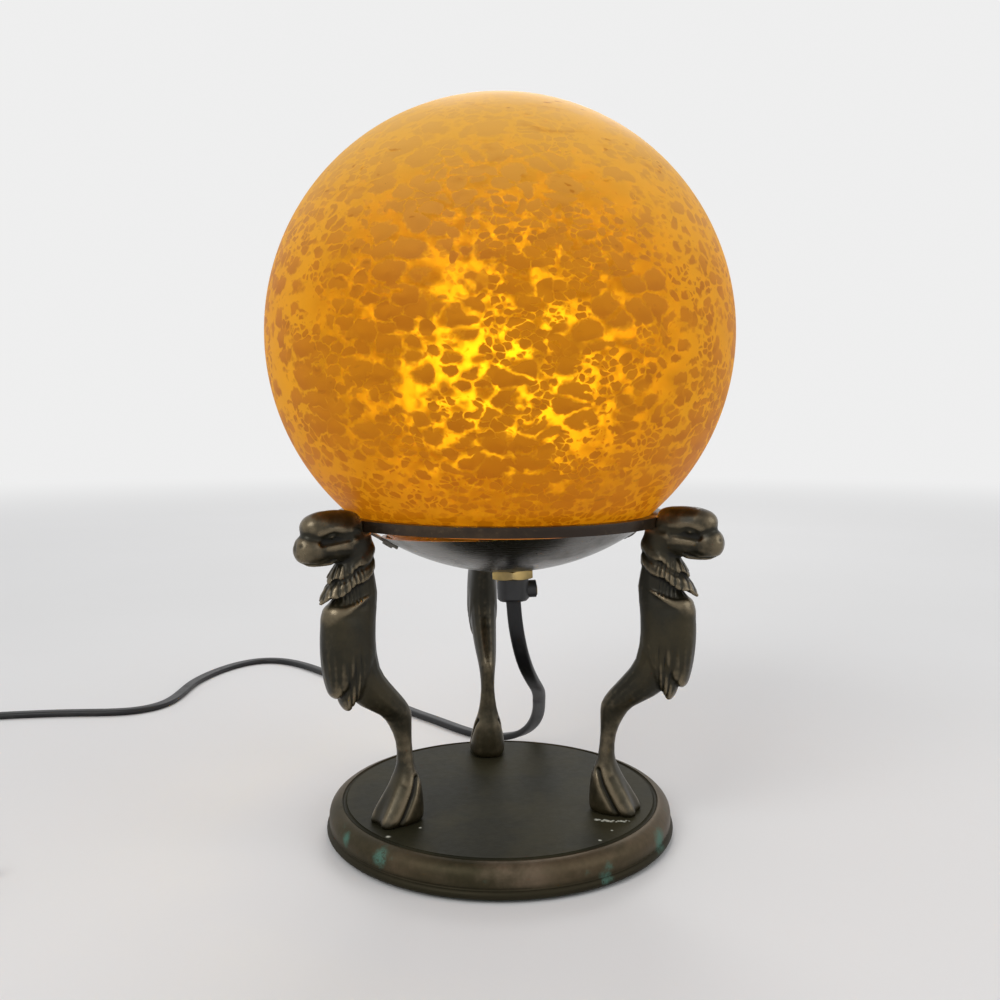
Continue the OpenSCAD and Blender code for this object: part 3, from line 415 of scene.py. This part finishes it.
def makeFlex():
    f, z = flex, flex["thickness"] / 2
    exitPoint = panTop + axisWay * f["gripBottom"]
    x, (near, far) = f["switchX"], f["switchEnds"]
    straight = f["width"]      # each end leaves its fitting straight for this far
    points = [exitPoint, exitPoint - axisWay * straight]
    points += [Vector(p) * mm for p in f["hang"]]
    points += [Vector((px * mm, py * mm, z)) for px, py in f["table"]]
    points += [Vector((x, near + straight, f["switchZ"])), Vector((x, near, f["switchZ"]))]
    lead, leadWay = sweepFlex("lead", points, firstSide=(1, 0, 0), firstWay=-axisWay, evening=f["evening"])

    first, last = coilPoint(0), coilPoint(coil["turns"])
    outward = Vector((1, 0, 0))
    tailStart = last + outward * straight
    tailEnd = Vector((coil["plugX"], tailStart.y - coil["plugAside"], coil["plugZ"]))
    points = [Vector((x, far, f["switchZ"])), Vector((x, far - straight, f["switchZ"]))]
    points += [Vector((px * mm, py * mm, z)) for px, py in f["run"]]
    points += [first + Vector((0, 2 * straight, 0)), first + Vector((0, straight, 0))]
    count = int(coil["turns"] * coil["perTurn"])
    points += [coilPoint(i / coil["perTurn"]) for i in range(count + 1)]
    points += [tailStart, (tailStart + tailEnd) / 2, tailEnd - outward * straight / 2, tailEnd]
    leadEnd, endWay = sweepFlex("leadEnd", points)
    return lead, leadWay, leadEnd, endWay


def flexFinish():
    f = Finish("flexSheath")
    wear = f.step(f.noise(90, 5, 0.6), 0.45, 0.8)
    grain = f.noise(2600, 3, 0.6)
    colour = f.mixed(wear, flex["sheath"], flex["scuffed"])
    rough = 0.36 + wear * 0.18 + grain * 0.06
    return f.show(f.surface(
        Base_Color=colour, Roughness=rough, Specular_IOR_Level=0.35, Normal=f.bump(grain, 0.00004, 0.6),
    ))


placeCamera()
lightStudio()
lightWorld()
layFloor()
print("camera, floor and lights are placed")
lead, leadWay, leadEnd, endWay = makeFlex()
flexLook = flexFinish()
dress(lead, "stand", "flex", flexLook, "cord_lead")
dress(leadEnd, "stand", "flex", flexLook, "cord_run", "cord_coil", "cord_tail")
print("flex is laid")


# Legs: one cast griffin leg, worked up from the solid and copied three times.
# Places are (outward, sideways, height) in millimetres, for a leg that points along +X.

leg = {
    # piece: node, angle
    "copies": {"legLeft": ("leg_left", 210), "legRight": ("leg_right", 330), "legRear": ("leg_rear", 90)},
    "voxel": 0.00046,
    "smoothing": 26,
    "softStep": 0.5,           # share of the way to its neighbours that a point goes in a softening round
    "evening": (0.53, -0.55),  # steps of one round: inwards, then back out
    "sole": 13.0,              # the hoof's flat sole stays at this height
    "sideSpan": 0.35,          # share of side-facing surface over which a groove comes in
    "neckOut": 67,             # the ruff and the breast leaves curve round an axis this far out
    "ruff": {
        # strands run down and forward, and fade out at the hem and the top
        "strands": 23, "depth": 0.48, "sharpness": 1.5, "slant": 0.22, "level": 105,
        "height": ((98.3, 100.5), (111, 114)),
        "outward": ((64, 67), (80.5, 83)),
    },
    "breast": {
        # barbs on the lower part of the leaves
        "barbs": 19, "depth": 0.55, "sharpness": 1.6, "slant": 0.05, "dip": 6,
        "height": ((57, 61), (78, 86)),
        "outward": (64.5, 67.5),
        "around": ((0.45, 0.95), (2.1, 2.5)),
    },
    "relief": {"rounds": 22, "span": (13.5, 17), "percentile": 96},
    "soft": [
        # rounds of extra smoothing, where it sets in and ends, and the swelling that makes up for it
        (55, (0, 4), (26, 34), 0.75),
        (45, (78, 90), (96.0, 98.6), 0.3),
        (24, (114, 119), (140, 141), 0.3),
    ],
    "grooves": [
        # points (outward, height), half width, depth, lowest share of side-facing surface
        ([(43.4, 29.5), (45.6, 24.5), (49.2, 18.6), (52.8, 12.5)], 0.9, 1.35, 0.25),
        ([(49.2, 27.0), (54.0, 19.5), (58.9, 12.5)], 1.2, 0.30, 0.1),
        ([(71.0, 122.6), (76.0, 122.6), (80.5, 122.0)], 1.2, 0.75, 0.2),
        ([(75.5, 115.4), (80.5, 114.1), (86.8, 114.3)], 0.5, 0.80, 0.0),
        ([(72.5, 108.6), (70.0, 113.5)], 1.0, 0.35, 0.3),
    ],
    "ridges": [
        ([(70.0, 119.6), (75.0, 120.0), (79.0, 119.8)], 1.0, 0.22, 0.3),
        ([(70.5, 126.0), (77.0, 126.6), (82.0, 125.4)], 1.1, 0.25, 0.3),
    ],
    "dents": [
        # place, radii, depth (a bump where it is negative)
        ((77.4, 5.6, 123.9), (2.7, 3.0, 1.7), 0.75),
        ((77.6, 4.9, 123.8), (1.3, 2.6, 1.05), -1.0),
        ((88.2, 2.6, 121.2), (1.1, 1.0, 0.8), 0.22),
        ((89.5, 0.0, 121.5), (1.4, 0.9, 2.6), 0.25),
        ((76.0, 0.0, 96.3), (6.0, 7.0, 3.4), -2.1),
        ((71.0, 5.0, 122.2), (4.2, 3.2, 1.7), -0.9),
    ],
}


def neighbourMean(points, edges):
    first, second = edges.T
    count = len(points)
    total = np.stack([
        np.bincount(first, points[second, k], count) + np.bincount(second, points[first, k], count)
        for k in range(3)
    ], axis=1)
    linked = np.bincount(edges.ravel(), minlength=count)
    return total / np.maximum(linked, 1)[:, None]


def evened(points, edges, rounds):
    # Smooths out facets and gives back the volume that plain smoothing takes away
    for _ in range(rounds):
        for share in leg["evening"]:
            points = points + share * (neighbourMean(points, edges) - points)
    return points


def meshPoints(piece):
    points = np.empty(len(piece.data.vertices) * 3, np.float64)
    piece.data.vertices.foreach_get("co", points)
    return points.reshape(-1, 3)


def meshEdges(piece):
    edges = np.empty(len(piece.data.edges) * 2, np.int64)
    piece.data.edges.foreach_get("vertices", edges)
    return edges.reshape(-1, 2)


def meshNormals(piece):
    normals = np.empty(len(piece.data.vertices) * 3, np.float64)
    piece.data.update()
    piece.data.vertices.foreach_get("normal", normals)
    return normals.reshape(-1, 3)


def setPoints(piece, points):
    piece.data.vertices.foreach_set("co", np.asarray(points, np.float64).ravel())
    piece.data.update()


def wayDistance(a, b, way):
    # Distance in a plane from points (a, b) to a line through several points
    nearest = np.full(len(a), 1e9)
    for (x0, y0), (x1, y1) in zip(way, way[1:]):
        dx, dy = x1 - x0, y1 - y0
        t = np.clip(((a - x0) * dx + (b - y0) * dy) / (dx * dx + dy * dy), 0, 1)
        nearest = np.minimum(nearest, np.hypot(a - x0 - t * dx, b - y0 - t * dy))
    return nearest


def fade(x, low, high):
    t = np.clip((x - low) / (high - low), 0, 1)
    return t * t * (3 - 2 * t)


def band(x, start, end):
    # 1 from the end of the first span to the start of the second
    return fade(x, *start) * (1 - fade(x, *end))


def grooved(count, around, slant, sharpness):
    # 0 between thin grooves and 1 at the bottom of each
    return (1 - np.abs(np.sin(count / 2 * around + slant))) ** sharpness


def carveLeg(piece):
    edges = meshEdges(piece)
    points = evened(meshPoints(piece) / mm, edges, leg["smoothing"])
    for rounds, start, end, swell in leg["soft"]:
        soft = band(points[:, 2], start, end)[:, None]
        for _ in range(rounds):
            points = points + leg["softStep"] * soft * (neighbourMean(points, edges) - points)
        setPoints(piece, points * mm)
        points = points + meshNormals(piece) * swell * soft
    setPoints(piece, points * mm)
    normals = meshNormals(piece)
    u, v, z = points.T
    facing = np.abs(normals[:, 1])
    push = np.zeros(len(points))
    for marks, sign in ((leg["grooves"], -1), (leg["ridges"], 1)):
        for way, width, depth, least in marks:
            near = np.exp(-((wayDistance(u, z, way) / width) ** 2))
            push += sign * depth * near * fade(facing, least, least + leg["sideSpan"])
    for (cu, cv, cz), (ru, rv, rz), depth in leg["dents"]:
        reach = ((u - cu) / ru) ** 2 + ((np.abs(v) - cv) / rv) ** 2 + ((z - cz) / rz) ** 2
        push -= depth * np.exp(-reach)
    around = np.arctan2(np.abs(v), u - leg["neckOut"])
    ruff, breast = leg["ruff"], leg["breast"]
    place = band(z, *ruff["height"]) * band(u, *ruff["outward"])
    strands = grooved(ruff["strands"], around, ruff["slant"] * (z - ruff["level"]), ruff["sharpness"])
    push -= ruff["depth"] * place * strands
    start, end = breast["height"]
    place = fade(u, *breast["outward"]) * fade(z, *start) * band(around, *breast["around"])
    place *= 1 - fade(z + breast["dip"] * np.cos(around), *end)
    barbs = grooved(breast["barbs"], around, breast["slant"] * z, breast["sharpness"])
    push -= breast["depth"] * place * barbs
    points = points + normals * push[:, None]
    points[:, 2] = np.maximum(points[:, 2], leg["sole"])
    setPoints(piece, points * mm)
    markRelief(piece, points, edges)


def markRelief(piece, points, edges):
    # Height above the smoothed form, which the patina follows
    marks = leg["relief"]
    broad = evened(points, edges, 1)
    for _ in range(marks["rounds"]):
        broad = neighbourMean(broad, edges)
    relief = ((points - broad) * meshNormals(piece)).sum(axis=1) * fade(points[:, 2], *marks["span"])
    spread = np.percentile(np.abs(relief), marks["percentile"])
    attribute = piece.data.attributes.new("relief", "FLOAT", "POINT")
    attribute.data.foreach_set("value", np.clip(relief / spread, -1, 1).astype(np.float32))


def castLeg():
    pattern = solidCopy("legPattern", "leg_rear", turn=-math.pi / 2)
    remesh = pattern.modifiers.new("even", "REMESH")
    remesh.mode = "VOXEL"
    remesh.voxel_size = leg["voxel"]
    bpy.ops.object.modifier_apply(modifier=remesh.name)
    carveLeg(pattern)
    bpy.ops.object.shade_smooth()
    return pattern


bronze = {
    # hollows, faces, worn edges, roughness
    "legBronze": ((0.016, 0.0138, 0.0065), (0.037, 0.029, 0.012), (0.150, 0.118, 0.070), 0.36),
    "ringBronze": ((0.022, 0.013, 0.007), (0.056, 0.034, 0.016), (0.115, 0.078, 0.042), 0.34),
}
pitColour = (0.004, 0.004, 0.003)


def bronzeFinish(name, carved=False):
    # Carved bronze is rubbed bright on its high parts and stays dark in its grooves
    dark, warm, bright, roughness = bronze[name]
    f = Finish(name)
    cloud = f.noise(38, 6, 0.62)
    fine = f.noise(420, 4, 0.6)
    grains = f.noise(1900, 3, 0.55)
    colour = f.mixed(f.step(cloud, 0.40, 0.66), dark, warm)
    rough = roughness + (cloud - 0.5) * 0.25 + (fine - 0.5) * 0.12
    height = fine * 0.6 + grains * 0.25
    if carved:
        shape = f.node("Attribute", {"attribute_name": "relief"}, output="Fac")
        worn = f.step(shape + (fine - 0.5) * 0.5, 0.25, 0.95)
        pits = f.step((fine - 0.5) * 0.3 - shape, 0.15, 0.85)
        colour = f.mixed(worn, colour, bright)
        colour = f.mixed(pits * 0.75, colour, pitColour)
        rough = rough - worn * 0.10 + pits * 0.25
    else:
        colour = f.mixed(f.step(fine, 0.56, 0.78) * 0.5, colour, bright)
    return f.show(f.surface(
        Base_Color=colour, Metallic=0.55, Roughness=rough, Specular_IOR_Level=0.5,
        Normal=f.bump(height, 0.00018, 0.5),
    ))


legPattern = castLeg()
legLook = bronzeFinish("legBronze", carved=True)
for name, (node, angle) in leg["copies"].items():
    piece = bpy.data.objects.new(name, legPattern.data.copy())
    bpy.context.scene.collection.objects.link(piece)
    piece.data.transform(Matrix.Rotation(math.radians(angle), 4, "Z"))
    dress(piece, "stand", "leg_bronze", legLook, node)
bpy.data.objects.remove(legPattern)
print("legs are cast")


# Globe: mottled amber glass with a satin face; the face's emission is a painted glow in place of the bulb's light
# scattered in the glass

globe = {
    "radius": 0.0907,
    "wall": 0.0028,
    "foot": 0.1235,
    "segments": 144,
    "rings": 96,
    "smoothAngle": 40,
}

amber = {
    # colours of the painted glow that the glass gives out, in place of the bulb's light scattered in it
    "grain": ((0.200, 0.056, 0.0002), (0.335, 0.120, 0.0008)),
    "vein": (0.52, 0.255, 0.004),
    "cloud": (0.355, 0.150, 0.0015),
    "foot": (0.34, 0.070, 0.0003),
    "paintedCrownSheen": (0.56, 0.395, 0.095),
    "streak": (0.22, 0.080, 0.001),
    "pore": (0.16, 0.042, 0.0002),
    "speck": (0.05, 0.012, 0.0),
    "rim": (1.0, 0.31, 0.06),
    "strength": 0.85,
    # colours of its satin face, and of the clear glass in the veins
    "face": ((0.28, 0.088, 0.001), (0.38, 0.145, 0.003)),
    "clear": (0.95, 0.81, 0.24),
    # heights above the table between which the glass changes
    "footSpan": (0.126, 0.178),
    "crownSpan": (0.204, 0.281),
    "calmSpan": (0.225, 0.285),
    "rimSpan": (0.1240, 0.1290),
    # numbers of cells to a metre: large, middle and small grains, and beads in the gaps
    "cells": (92, 150, 245),
    "beads": 300,
}


def blowGlobe():
    g = globe
    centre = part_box("globe")[1].z - g["radius"]
    bpy.ops.mesh.primitive_uv_sphere_add(
        segments=g["segments"], ring_count=g["rings"], radius=g["radius"], location=(0, 0, centre),
    )
    piece = bpy.context.object
    piece.name = "glassGlobe"
    bpy.ops.object.transform_apply(location=True)
    bpy.ops.object.mode_set(mode="EDIT")
    bpy.ops.mesh.select_all(action="SELECT")
    bpy.ops.mesh.bisect(plane_co=(0, 0, g["foot"]), plane_no=(0, 0, 1), clear_inner=True)
    bpy.ops.object.mode_set(mode="OBJECT")
    wall = piece.modifiers.new("wall", "SOLIDIFY")
    wall.thickness = g["wall"]
    wall.offset = -1
    bpy.ops.object.modifier_apply(modifier=wall.name)
    bpy.ops.object.shade_smooth_by_angle(angle=math.radians(g["smoothAngle"]))
    return piece


def amberFinish():
    a = amber
    f = Finish("amberGlass")
    height = f.axis("Z")
    low = 1 - f.step(height, *a["footSpan"])
    high = f.step(height, *a["crownSpan"])
    # Grains of colour: large and small rounded cells, flattened and pushed about
    place = f.stretched((1, 1, 1.5))
    for scale, reach in ((90, 0.008), (330, 0.0034)):
        drift = f.node("TexNoise", None, {"Vector": f.place, "Scale": scale, "Detail": 2}, output="Color")
        place = f.vector("ADD", place, f.vector("SCALE", drift, Scale=reach))
    crowd = f.noise(36, 2, 0.5)
    mix = f.step(f.noise(52, 2, 0.5, twist=0.3) + low * 0.10, 0.47, 0.53)
    tiny = f.step(f.noise(44, 2, 0.5, f.stretched(shift=(0.3, 0.1, 0.2))) + low * 0.12, 0.55, 0.60)
    large, middle, small = a["cells"]
    core, edge = f.cells(large, place), f.cells(large, place, "DISTANCE_TO_EDGE")
    largeCore = core
    for scale, share in ((middle, mix), (small, tiny)):
        core = core + (f.cells(scale, place) - core) * share
        edge = edge + (f.cells(scale, place, "DISTANCE_TO_EDGE") - edge) * share
    # Veins: gaps between the grains, filled with beads in part, and seams where grains have fused
    beads = f.step(f.cells(a["beads"], place), 0.28, 0.52)
    gap = f.step(core + (crowd - 0.5) * 0.45 + low * 0.03, 0.485, 0.65)
    fused = f.step(f.noise(75, 2, 0.5), 0.36, 0.50)
    seam = (1 - f.step(edge - (crowd - 0.5) * 0.30, 0.004, 0.120)) * (fused * 0.85 + 0.15)
    vein = (gap * (beads * 0.65 + 0.35) + seam * 0.9).atMost(1.0)
    vein = vein * (1 - f.step(height, *a["calmSpan"]) * 0.55)
    cloud = f.noise(26, 3, 0.5, f.stretched((1, 1, 1.8)))
    # Long faint streaks where the gather was turned, mostly near the top
    turned = f.stretched((1, 1, 3.4), turn=(0.25, 0.35, 0))
    streaks = f.step(f.noise(48, 4, 0.62, turned, twist=0.8), 0.56, 0.74) * (high * 0.7 + 0.3)
    # Each grain is painted a little lighter along its upper side and darker below, a painted highlight and painted
    # shade as from light above
    lifted = f.stretched(shift=(0, 0, 0.0016), place=place)
    paintedGrainLight = f.step(f.cells(large, lifted) - largeCore, -0.22, 0.22)
    glow = f.mixed(paintedGrainLight, *a["grain"])
    glow = f.mixed(vein, glow, a["vein"])
    glow = f.mixed(f.step(cloud, 0.35, 0.7) * 0.4, glow, a["cloud"])
    glow = f.mixed(low * 0.42, glow, a["foot"])
    # Painted sheen: the top of the globe is painted paler and yellower, as of light falling from above
    glow = f.mixed(high * 0.85, glow, a["paintedCrownSheen"])
    glow = f.mixed(streaks * 0.5, glow, a["streak"])
    # Small dark pores, and a few specks on the face
    poreCells = f.cells(118, f.stretched((1, 1, 1.9), shift=(0.4, 0.2, 0.1), place=place))
    pores = 1 - f.step(poreCells, 0.10, 0.21)
    glow = f.mixed(pores * f.step(cloud, 0.46, 0.58) * 0.75, glow, a["pore"])
    specks = f.step(f.noise(900, 2, 0.6), 0.66, 0.72) * f.step(f.noise(30, 2, 0.5), 0.60, 0.68)
    glow = f.mixed(specks * 0.7, glow, a["speck"])
    # The lowest few millimetres, down in the ring, get a painted orange glow of the bulb's light
    glow = f.mixed(1 - f.step(height, *a["rimSpan"]), glow, a["rim"])
    # The satin face's emission is a painted glow, standing in for the bulb's light scattered in the glass
    satin = f.surface(
        Base_Color=f.mixed(vein, *a["face"]), Roughness=0.46 + cloud * 0.1, Specular_IOR_Level=0.12,
        Emission_Color=glow, Emission_Strength=a["strength"],
    )
    clear = f.node("BsdfGlass", None, {"Color": (*a["clear"], 1), "Roughness": 0.95, "IOR": 1.45})
    # Seen aslant, the satin face hides the clear veins
    aslant = f.step(f.node("LayerWeight", None, {"Blend": 0.5}, output="Facing"), 0.15, 0.54)
    share = vein * (1 - specks) * (0.74 - aslant * 0.52) + 0.02
    return f.show(f.node("MixShader", None, {0: share, 1: satin, 2: clear}))


glassGlobe = blowGlobe()
dress(glassGlobe, "globe", "amber_glass", amberFinish(), "globe")
print("globe is blown")


# Finishes for the fittings

metals = {
    # base colour, worn colour, roughness
    "turnedBrass": ((0.62, 0.45, 0.18), (0.36, 0.27, 0.13), 0.30),
    "screwSteel": ((0.20, 0.19, 0.17), (0.11, 0.10, 0.085), 0.36),
    "pinNickel": ((0.66, 0.65, 0.62), (0.50, 0.49, 0.46), 0.22),
}
mouldings = {
    # colour, roughness, scale of the skin's grain
    "blackMoulding": ((0.014, 0.014, 0.015), 0.38, 2200),
    "plugMoulding": ((0.016, 0.016, 0.017), 0.50, 1600),
    "whiteCeramic": ((0.74, 0.72, 0.66), 0.22, 900),
}
pan = {"bare": (0.155, 0.151, 0.140), "stained": (0.095, 0.090, 0.078)}
felt = {"deep": (0.012, 0.030, 0.018), "nap": (0.040, 0.085, 0.050), "lint": (0.12, 0.14, 0.11)}


def metalFinish(name):
    base, worn, roughness = metals[name]
    f = Finish(name)
    cloud = f.noise(60, 5, 0.6)
    fine = f.noise(900, 4, 0.6)
    colour = f.mixed(f.step(cloud, 0.42, 0.68), base, worn)
    rough = roughness + (cloud - 0.5) * 0.22 + (fine - 0.5) * 0.10
    return f.show(f.surface(
        Base_Color=colour, Metallic=1.0, Roughness=rough, Normal=f.bump(fine, 0.00005, 0.5),
    ))


def mouldedFinish(name):
    base, roughness, grain = mouldings[name]
    f = Finish(name)
    cloud = f.noise(70, 4, 0.6)
    skin = f.noise(grain, 3, 0.6)
    scuffs = f.step(f.noise(320, 6, 0.7), 0.60, 0.78)
    dusty = tuple(c * 0.8 + 0.035 for c in base)
    colour = f.mixed(scuffs * 0.5, f.mixed(cloud * 0.35, base, dusty), dusty)
    rough = roughness + scuffs * 0.14 + skin * 0.08
    return f.show(f.surface(Base_Color=colour, Roughness=rough, Normal=f.bump(skin, 0.00004, 0.6)))


def spunFinish():
    # Satin metal turned on a lathe: fine rings round the pan's own axis
    f = Finish("spunMetal")
    lean = Vector((0, 0, 1)).rotation_difference(axisWay).to_euler()
    settings = {"vector_type": "TEXTURE"}
    local = f.node("Mapping", settings, {"Vector": f.place, "Location": panTop, "Rotation": lean})
    ringPlace = f.node("CombineXYZ", None, {0: f.fromAxis(local), 1: f.axis("Z", local) * 0.15})
    rings = f.noise(2600, 3, 0.65, ringPlace)
    broad = f.noise(260, 2, 0.5, ringPlace)
    cloud = f.noise(45, 5, 0.6)
    stain = f.step(cloud, 0.48, 0.72)
    colour = f.mixed(stain, pan["bare"], pan["stained"])
    rough = 0.26 + (rings - 0.5) * 0.20 + stain * 0.12
    return f.show(f.surface(
        Base_Color=colour, Metallic=1.0, Roughness=rough, Normal=f.bump(rings + broad * 0.8, 0.00006, 0.55),
    ))


def feltFinish():
    f = Finish("greenFelt")
    fibres = f.noise(1500, 5, 0.75, twist=1.2)
    lint = f.step(f.noise(240, 4, 0.6), 0.58, 0.72)
    colour = f.mixed(fibres, felt["deep"], felt["nap"])
    colour = f.mixed(lint * 0.4, colour, felt["lint"])
    return f.show(f.surface(
        Base_Color=colour, Roughness=0.95, Sheen_Weight=0.4, Normal=f.bump(fibres, 0.0002, 0.8),
    ))


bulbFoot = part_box("bulb_glass")[0].z
lights = {
    # colour, strength, and the heights between which the dark neck ends, if there is one
    "frostedBulb": ((1.0, 0.76, 0.10), 15.5, (bulbFoot, bulbFoot + 0.034)),
    "hotFilament": ((1.0, 0.70, 0.34), 4.0, None),
}
frosting = ((0.80, 0.78, 0.74), (0.70, 0.68, 0.65))


def litFinish(name):
    # Alight: a little dimmer where the frosting is thick, and much dimmer in the neck
    colour, strength, neck = lights[name]
    f = Finish(name)
    frost = f.noise(180, 4, 0.6)
    lit = f.mixed(frost, colour, tuple(c * 0.86 for c in colour))
    if neck:
        lit = f.mixed(f.step(f.axis("Z"), *neck), tuple(c * 0.07 for c in colour), lit)
    return f.show(f.surface(
        Base_Color=f.mixed(frost, *frosting), Roughness=0.42 + frost * 0.1,
        Emission_Color=lit, Emission_Strength=strength, Normal=f.bump(frost, 0.00005, 0.4),
    ))


def polishLine():
    # A thin uneven line of old polish in front of the right hoof
    line = []
    for i in range(13):
        y = -33.2 - 0.5 * i + 0.024 * i * i + 0.5 * math.sin(2.4 * i)
        line.append((33.0 + i, y, 13, 1.3 - 0.05 * i + 0.3 * math.sin(5.1 * i)))
    return line


patina = {
    "olive": ((0.018, 0.017, 0.009), (0.036, 0.032, 0.017)),
    "rollCast": (0.066, 0.054, 0.030),
    "rubbed": (0.120, 0.084, 0.052),
    # painted highlight on the roll's front, standing in for a reflection of the room's light, and its centre
    "paintedRollHighlight": (0.240, 0.178, 0.128),
    "paintedRollHighlightAt": (-0.009, -0.069, 0.010),
    "groove": (0.010, 0.009, 0.005),
    "foot": (0.016, 0.014, 0.009),
    "bloom": (0.055, 0.110, 0.085),
    # radii and heights in metres between which the base's parts begin and end
    "rollSpan": (0.0630, 0.0645),
    "grooveSpans": ((0.0617, 0.0624), (0.0634, 0.0641)),
    "footSpan": (0.0035, 0.0070),
    "marks": [
        # colour, cover, and spots of x, y, z and radius in mm: verdigris, then old polish
        ((0.095, 0.215, 0.170), 0.55, [
            (-48.3, -46.8, 9, 4.5), (56.8, -41.8, 7.5, 6.2), (32.2, -63.5, 8, 3.6), (31.0, -64.5, 5, 4.4),
            (-14, -70, 8, 2.6), (-61, -30, 9, 3.5), (12, 68, 8, 4.0), (-40, 57, 8, 3.5), (66, 24, 7, 3.0),
            (-70, 8, 8, 3.0),
        ]),
        ((0.52, 0.52, 0.44), 0.8, [
            (-46.0, -39.0, 13, 1.3), (36.5, -43.5, 13, 0.7), (30.2, -51.4, 13, 0.8),
            (-34.0, -32.5, 13, 0.8), (3, 53, 13, 0.9), *polishLine(),
        ]),
    ],
}


def baseFinish():
    # Olive bronze, coppery where hands rub the roll, with a painted highlight on the roll's front, and with
    # verdigris and a few white spots of old polish
    p = patina
    f = Finish("baseBronze")
    cloud = f.noise(30, 6, 0.62)
    fine = f.noise(300, 5, 0.65)
    grains = f.noise(1500, 3, 0.6)
    radius = f.fromAxis()
    roll = f.step(radius, *p["rollSpan"])
    lowDown = 1 - f.step(f.axis("Z"), *p["footSpan"])
    rubbed = roll * (1 - lowDown) * f.step(f.noise(16, 4, 0.5) + (fine - 0.5) * 0.12, 0.36, 0.70)
    # Painted highlight: a pale coppery patch on the front of the roll in place of a reflection of the room's light
    paintedRollHighlight = rubbed * f.step(f.fromPoint(p["paintedRollHighlightAt"]) + (cloud - 0.5) * 0.012, 0.026, 0.004)
    colour = f.mixed(f.step(cloud, 0.38, 0.66), *p["olive"])
    colour = f.mixed(roll * (fine * 0.5 + 0.2), colour, p["rollCast"])
    colour = f.mixed(rubbed * (0.4 + fine * 0.6), colour, p["rubbed"])
    colour = f.mixed(paintedRollHighlight, colour, p["paintedRollHighlight"])
    start, end = p["grooveSpans"]
    groove = f.step(radius, *start) * (1 - f.step(radius, *end))
    colour = f.mixed(groove * 0.2, colour, p["groove"])
    colour = f.mixed(lowDown * 0.6, colour, p["foot"])
    rough = 0.52 + (cloud - 0.5) * 0.22 + (fine - 0.5) * 0.16 - rubbed * 0.16
    height = fine * 0.5 + grains * 0.2
    for markColour, cover, spots in p["marks"]:
        mark = None
        for x, y, z, size in spots:
            away = f.fromPoint((x * mm, y * mm, z * mm))
            spot = f.step(away + (fine - 0.5) * size * mm * 1.3, size * mm, size * 0.25 * mm)
            mark = spot if mark is None else mark.atLeast(spot)
        mark = (mark * f.step(grains * 0.5 + fine * 0.5, 0.34, 0.52) * cover * 1.4).atMost(1.0)
        colour = f.mixed(mark, colour, markColour)
        rough = rough + mark * 0.3
        height = height + mark * 0.5
    bloom = f.step(f.noise(75, 6, 0.7), 0.60, 0.74) * (roll * 0.5 + groove * 0.4 + 0.06)
    colour = f.mixed(bloom, colour, p["bloom"])
    return f.show(f.surface(
        Base_Color=colour, Metallic=roll * 0.4 + 0.1, Roughness=rough + bloom * 0.2,
        Specular_IOR_Level=0.06, Normal=f.bump(height, 0.00022, 0.6),
    ))


# Pieces worked up from the solids: edges are rounded as on a used fitting

fittings = {
    # piece: node, body, edge radius in mm, slot
    "hexNut": ("hex_nut", "stand", 0.22, "turned_brass"),
    "lockNut": ("lock_nut", "stand", 0.22, "turned_brass"),
    "galleryRing": ("gallery_ring", "stand", 0.35, "ring_bronze"),
    "gripBody": ("cord_grip", "stand", 0.5, "grip_plastic"),
    "gripScrew": ("cord_grip_screw", "stand", 0.18, "screw_brass"),
    "holderCap": ("holder_cap", "stand", 0.5, "holder_plastic"),
    "holderShell": ("holder_shell", "stand", 0.5, "holder_plastic"),
    "switchBottom": ("switch_lower", "stand", 1.1, "switch_plastic"),
    "switchTop": ("switch_upper", "stand", 1.0, "switch_plastic"),
    "switchRocker": ("switch_rocker", "rocker", 0.5, "rocker_plastic"),
    "plugBody": ("plug_body", "stand", 0.9, "plug_plastic"),
    "plugPins": ("plug_pins", "stand", 0.25, "pin_metal"),
}


edging = {
    "segments": 3,
    "flattest": 1,             # degrees below which facets of one face are joined
    "sharp": 35,               # degrees above which an edge is rounded
    "smoothAngle": 40,
}


def rounded(name, node, radius):
    piece = solidCopy(name, node, flattest=edging["flattest"])
    edge = piece.modifiers.new("edge", "BEVEL")
    edge.width = radius * mm
    edge.segments = edging["segments"]
    edge.limit_method = "ANGLE"
    edge.angle_limit = math.radians(edging["sharp"])
    bpy.ops.object.modifier_apply(modifier=edge.name)
    bpy.ops.object.shade_smooth_by_angle(angle=math.radians(edging["smoothAngle"]))
    return piece


brassLook, steelLook, nickelLook = [metalFinish(name) for name in metals]
blackLook, softLook, ceramicLook = [mouldedFinish(name) for name in mouldings]
bulbLook, filamentLook = [litFinish(name) for name in lights]
looks = {
    "ring_bronze": bronzeFinish("ringBronze"), "base_bronze": baseFinish(), "leg_bronze": legLook,
    "turned_brass": brassLook, "screw_brass": brassLook, "screw_steel": steelLook, "cap_metal": steelLook,
    "pin_metal": nickelLook, "pan_metal": spunFinish(), "felt": feltFinish(), "flex": flexLook,
    "grip_plastic": blackLook, "holder_plastic": blackLook, "switch_plastic": blackLook,
    "bulb_black": blackLook, "rocker_plastic": softLook, "plug_plastic": softLook, "tie_wire": softLook,
    "holder_ceramic": ceramicLook, "bulb_glass": bulbLook, "filament": filamentLook,
}
for name, (node, body, radius, slot) in fittings.items():
    dress(rounded(name, node, radius), body, slot, looks[slot], node)
print("fittings are rounded")


# Everything that the solids already show well keeps them, with its own finish
slotOf = {part["node"]: part["material_slot"] for part in frame["record"]["subparts"]}
for name, solid in nodes.items():
    look = looks.get(slotOf.get(name))
    if look and not solid.hide_render:
        solid.data.materials.clear()
        solid.data.materials.append(look)
print("solids are finished:", sorted(name for name, solid in nodes.items() if not solid.hide_render))
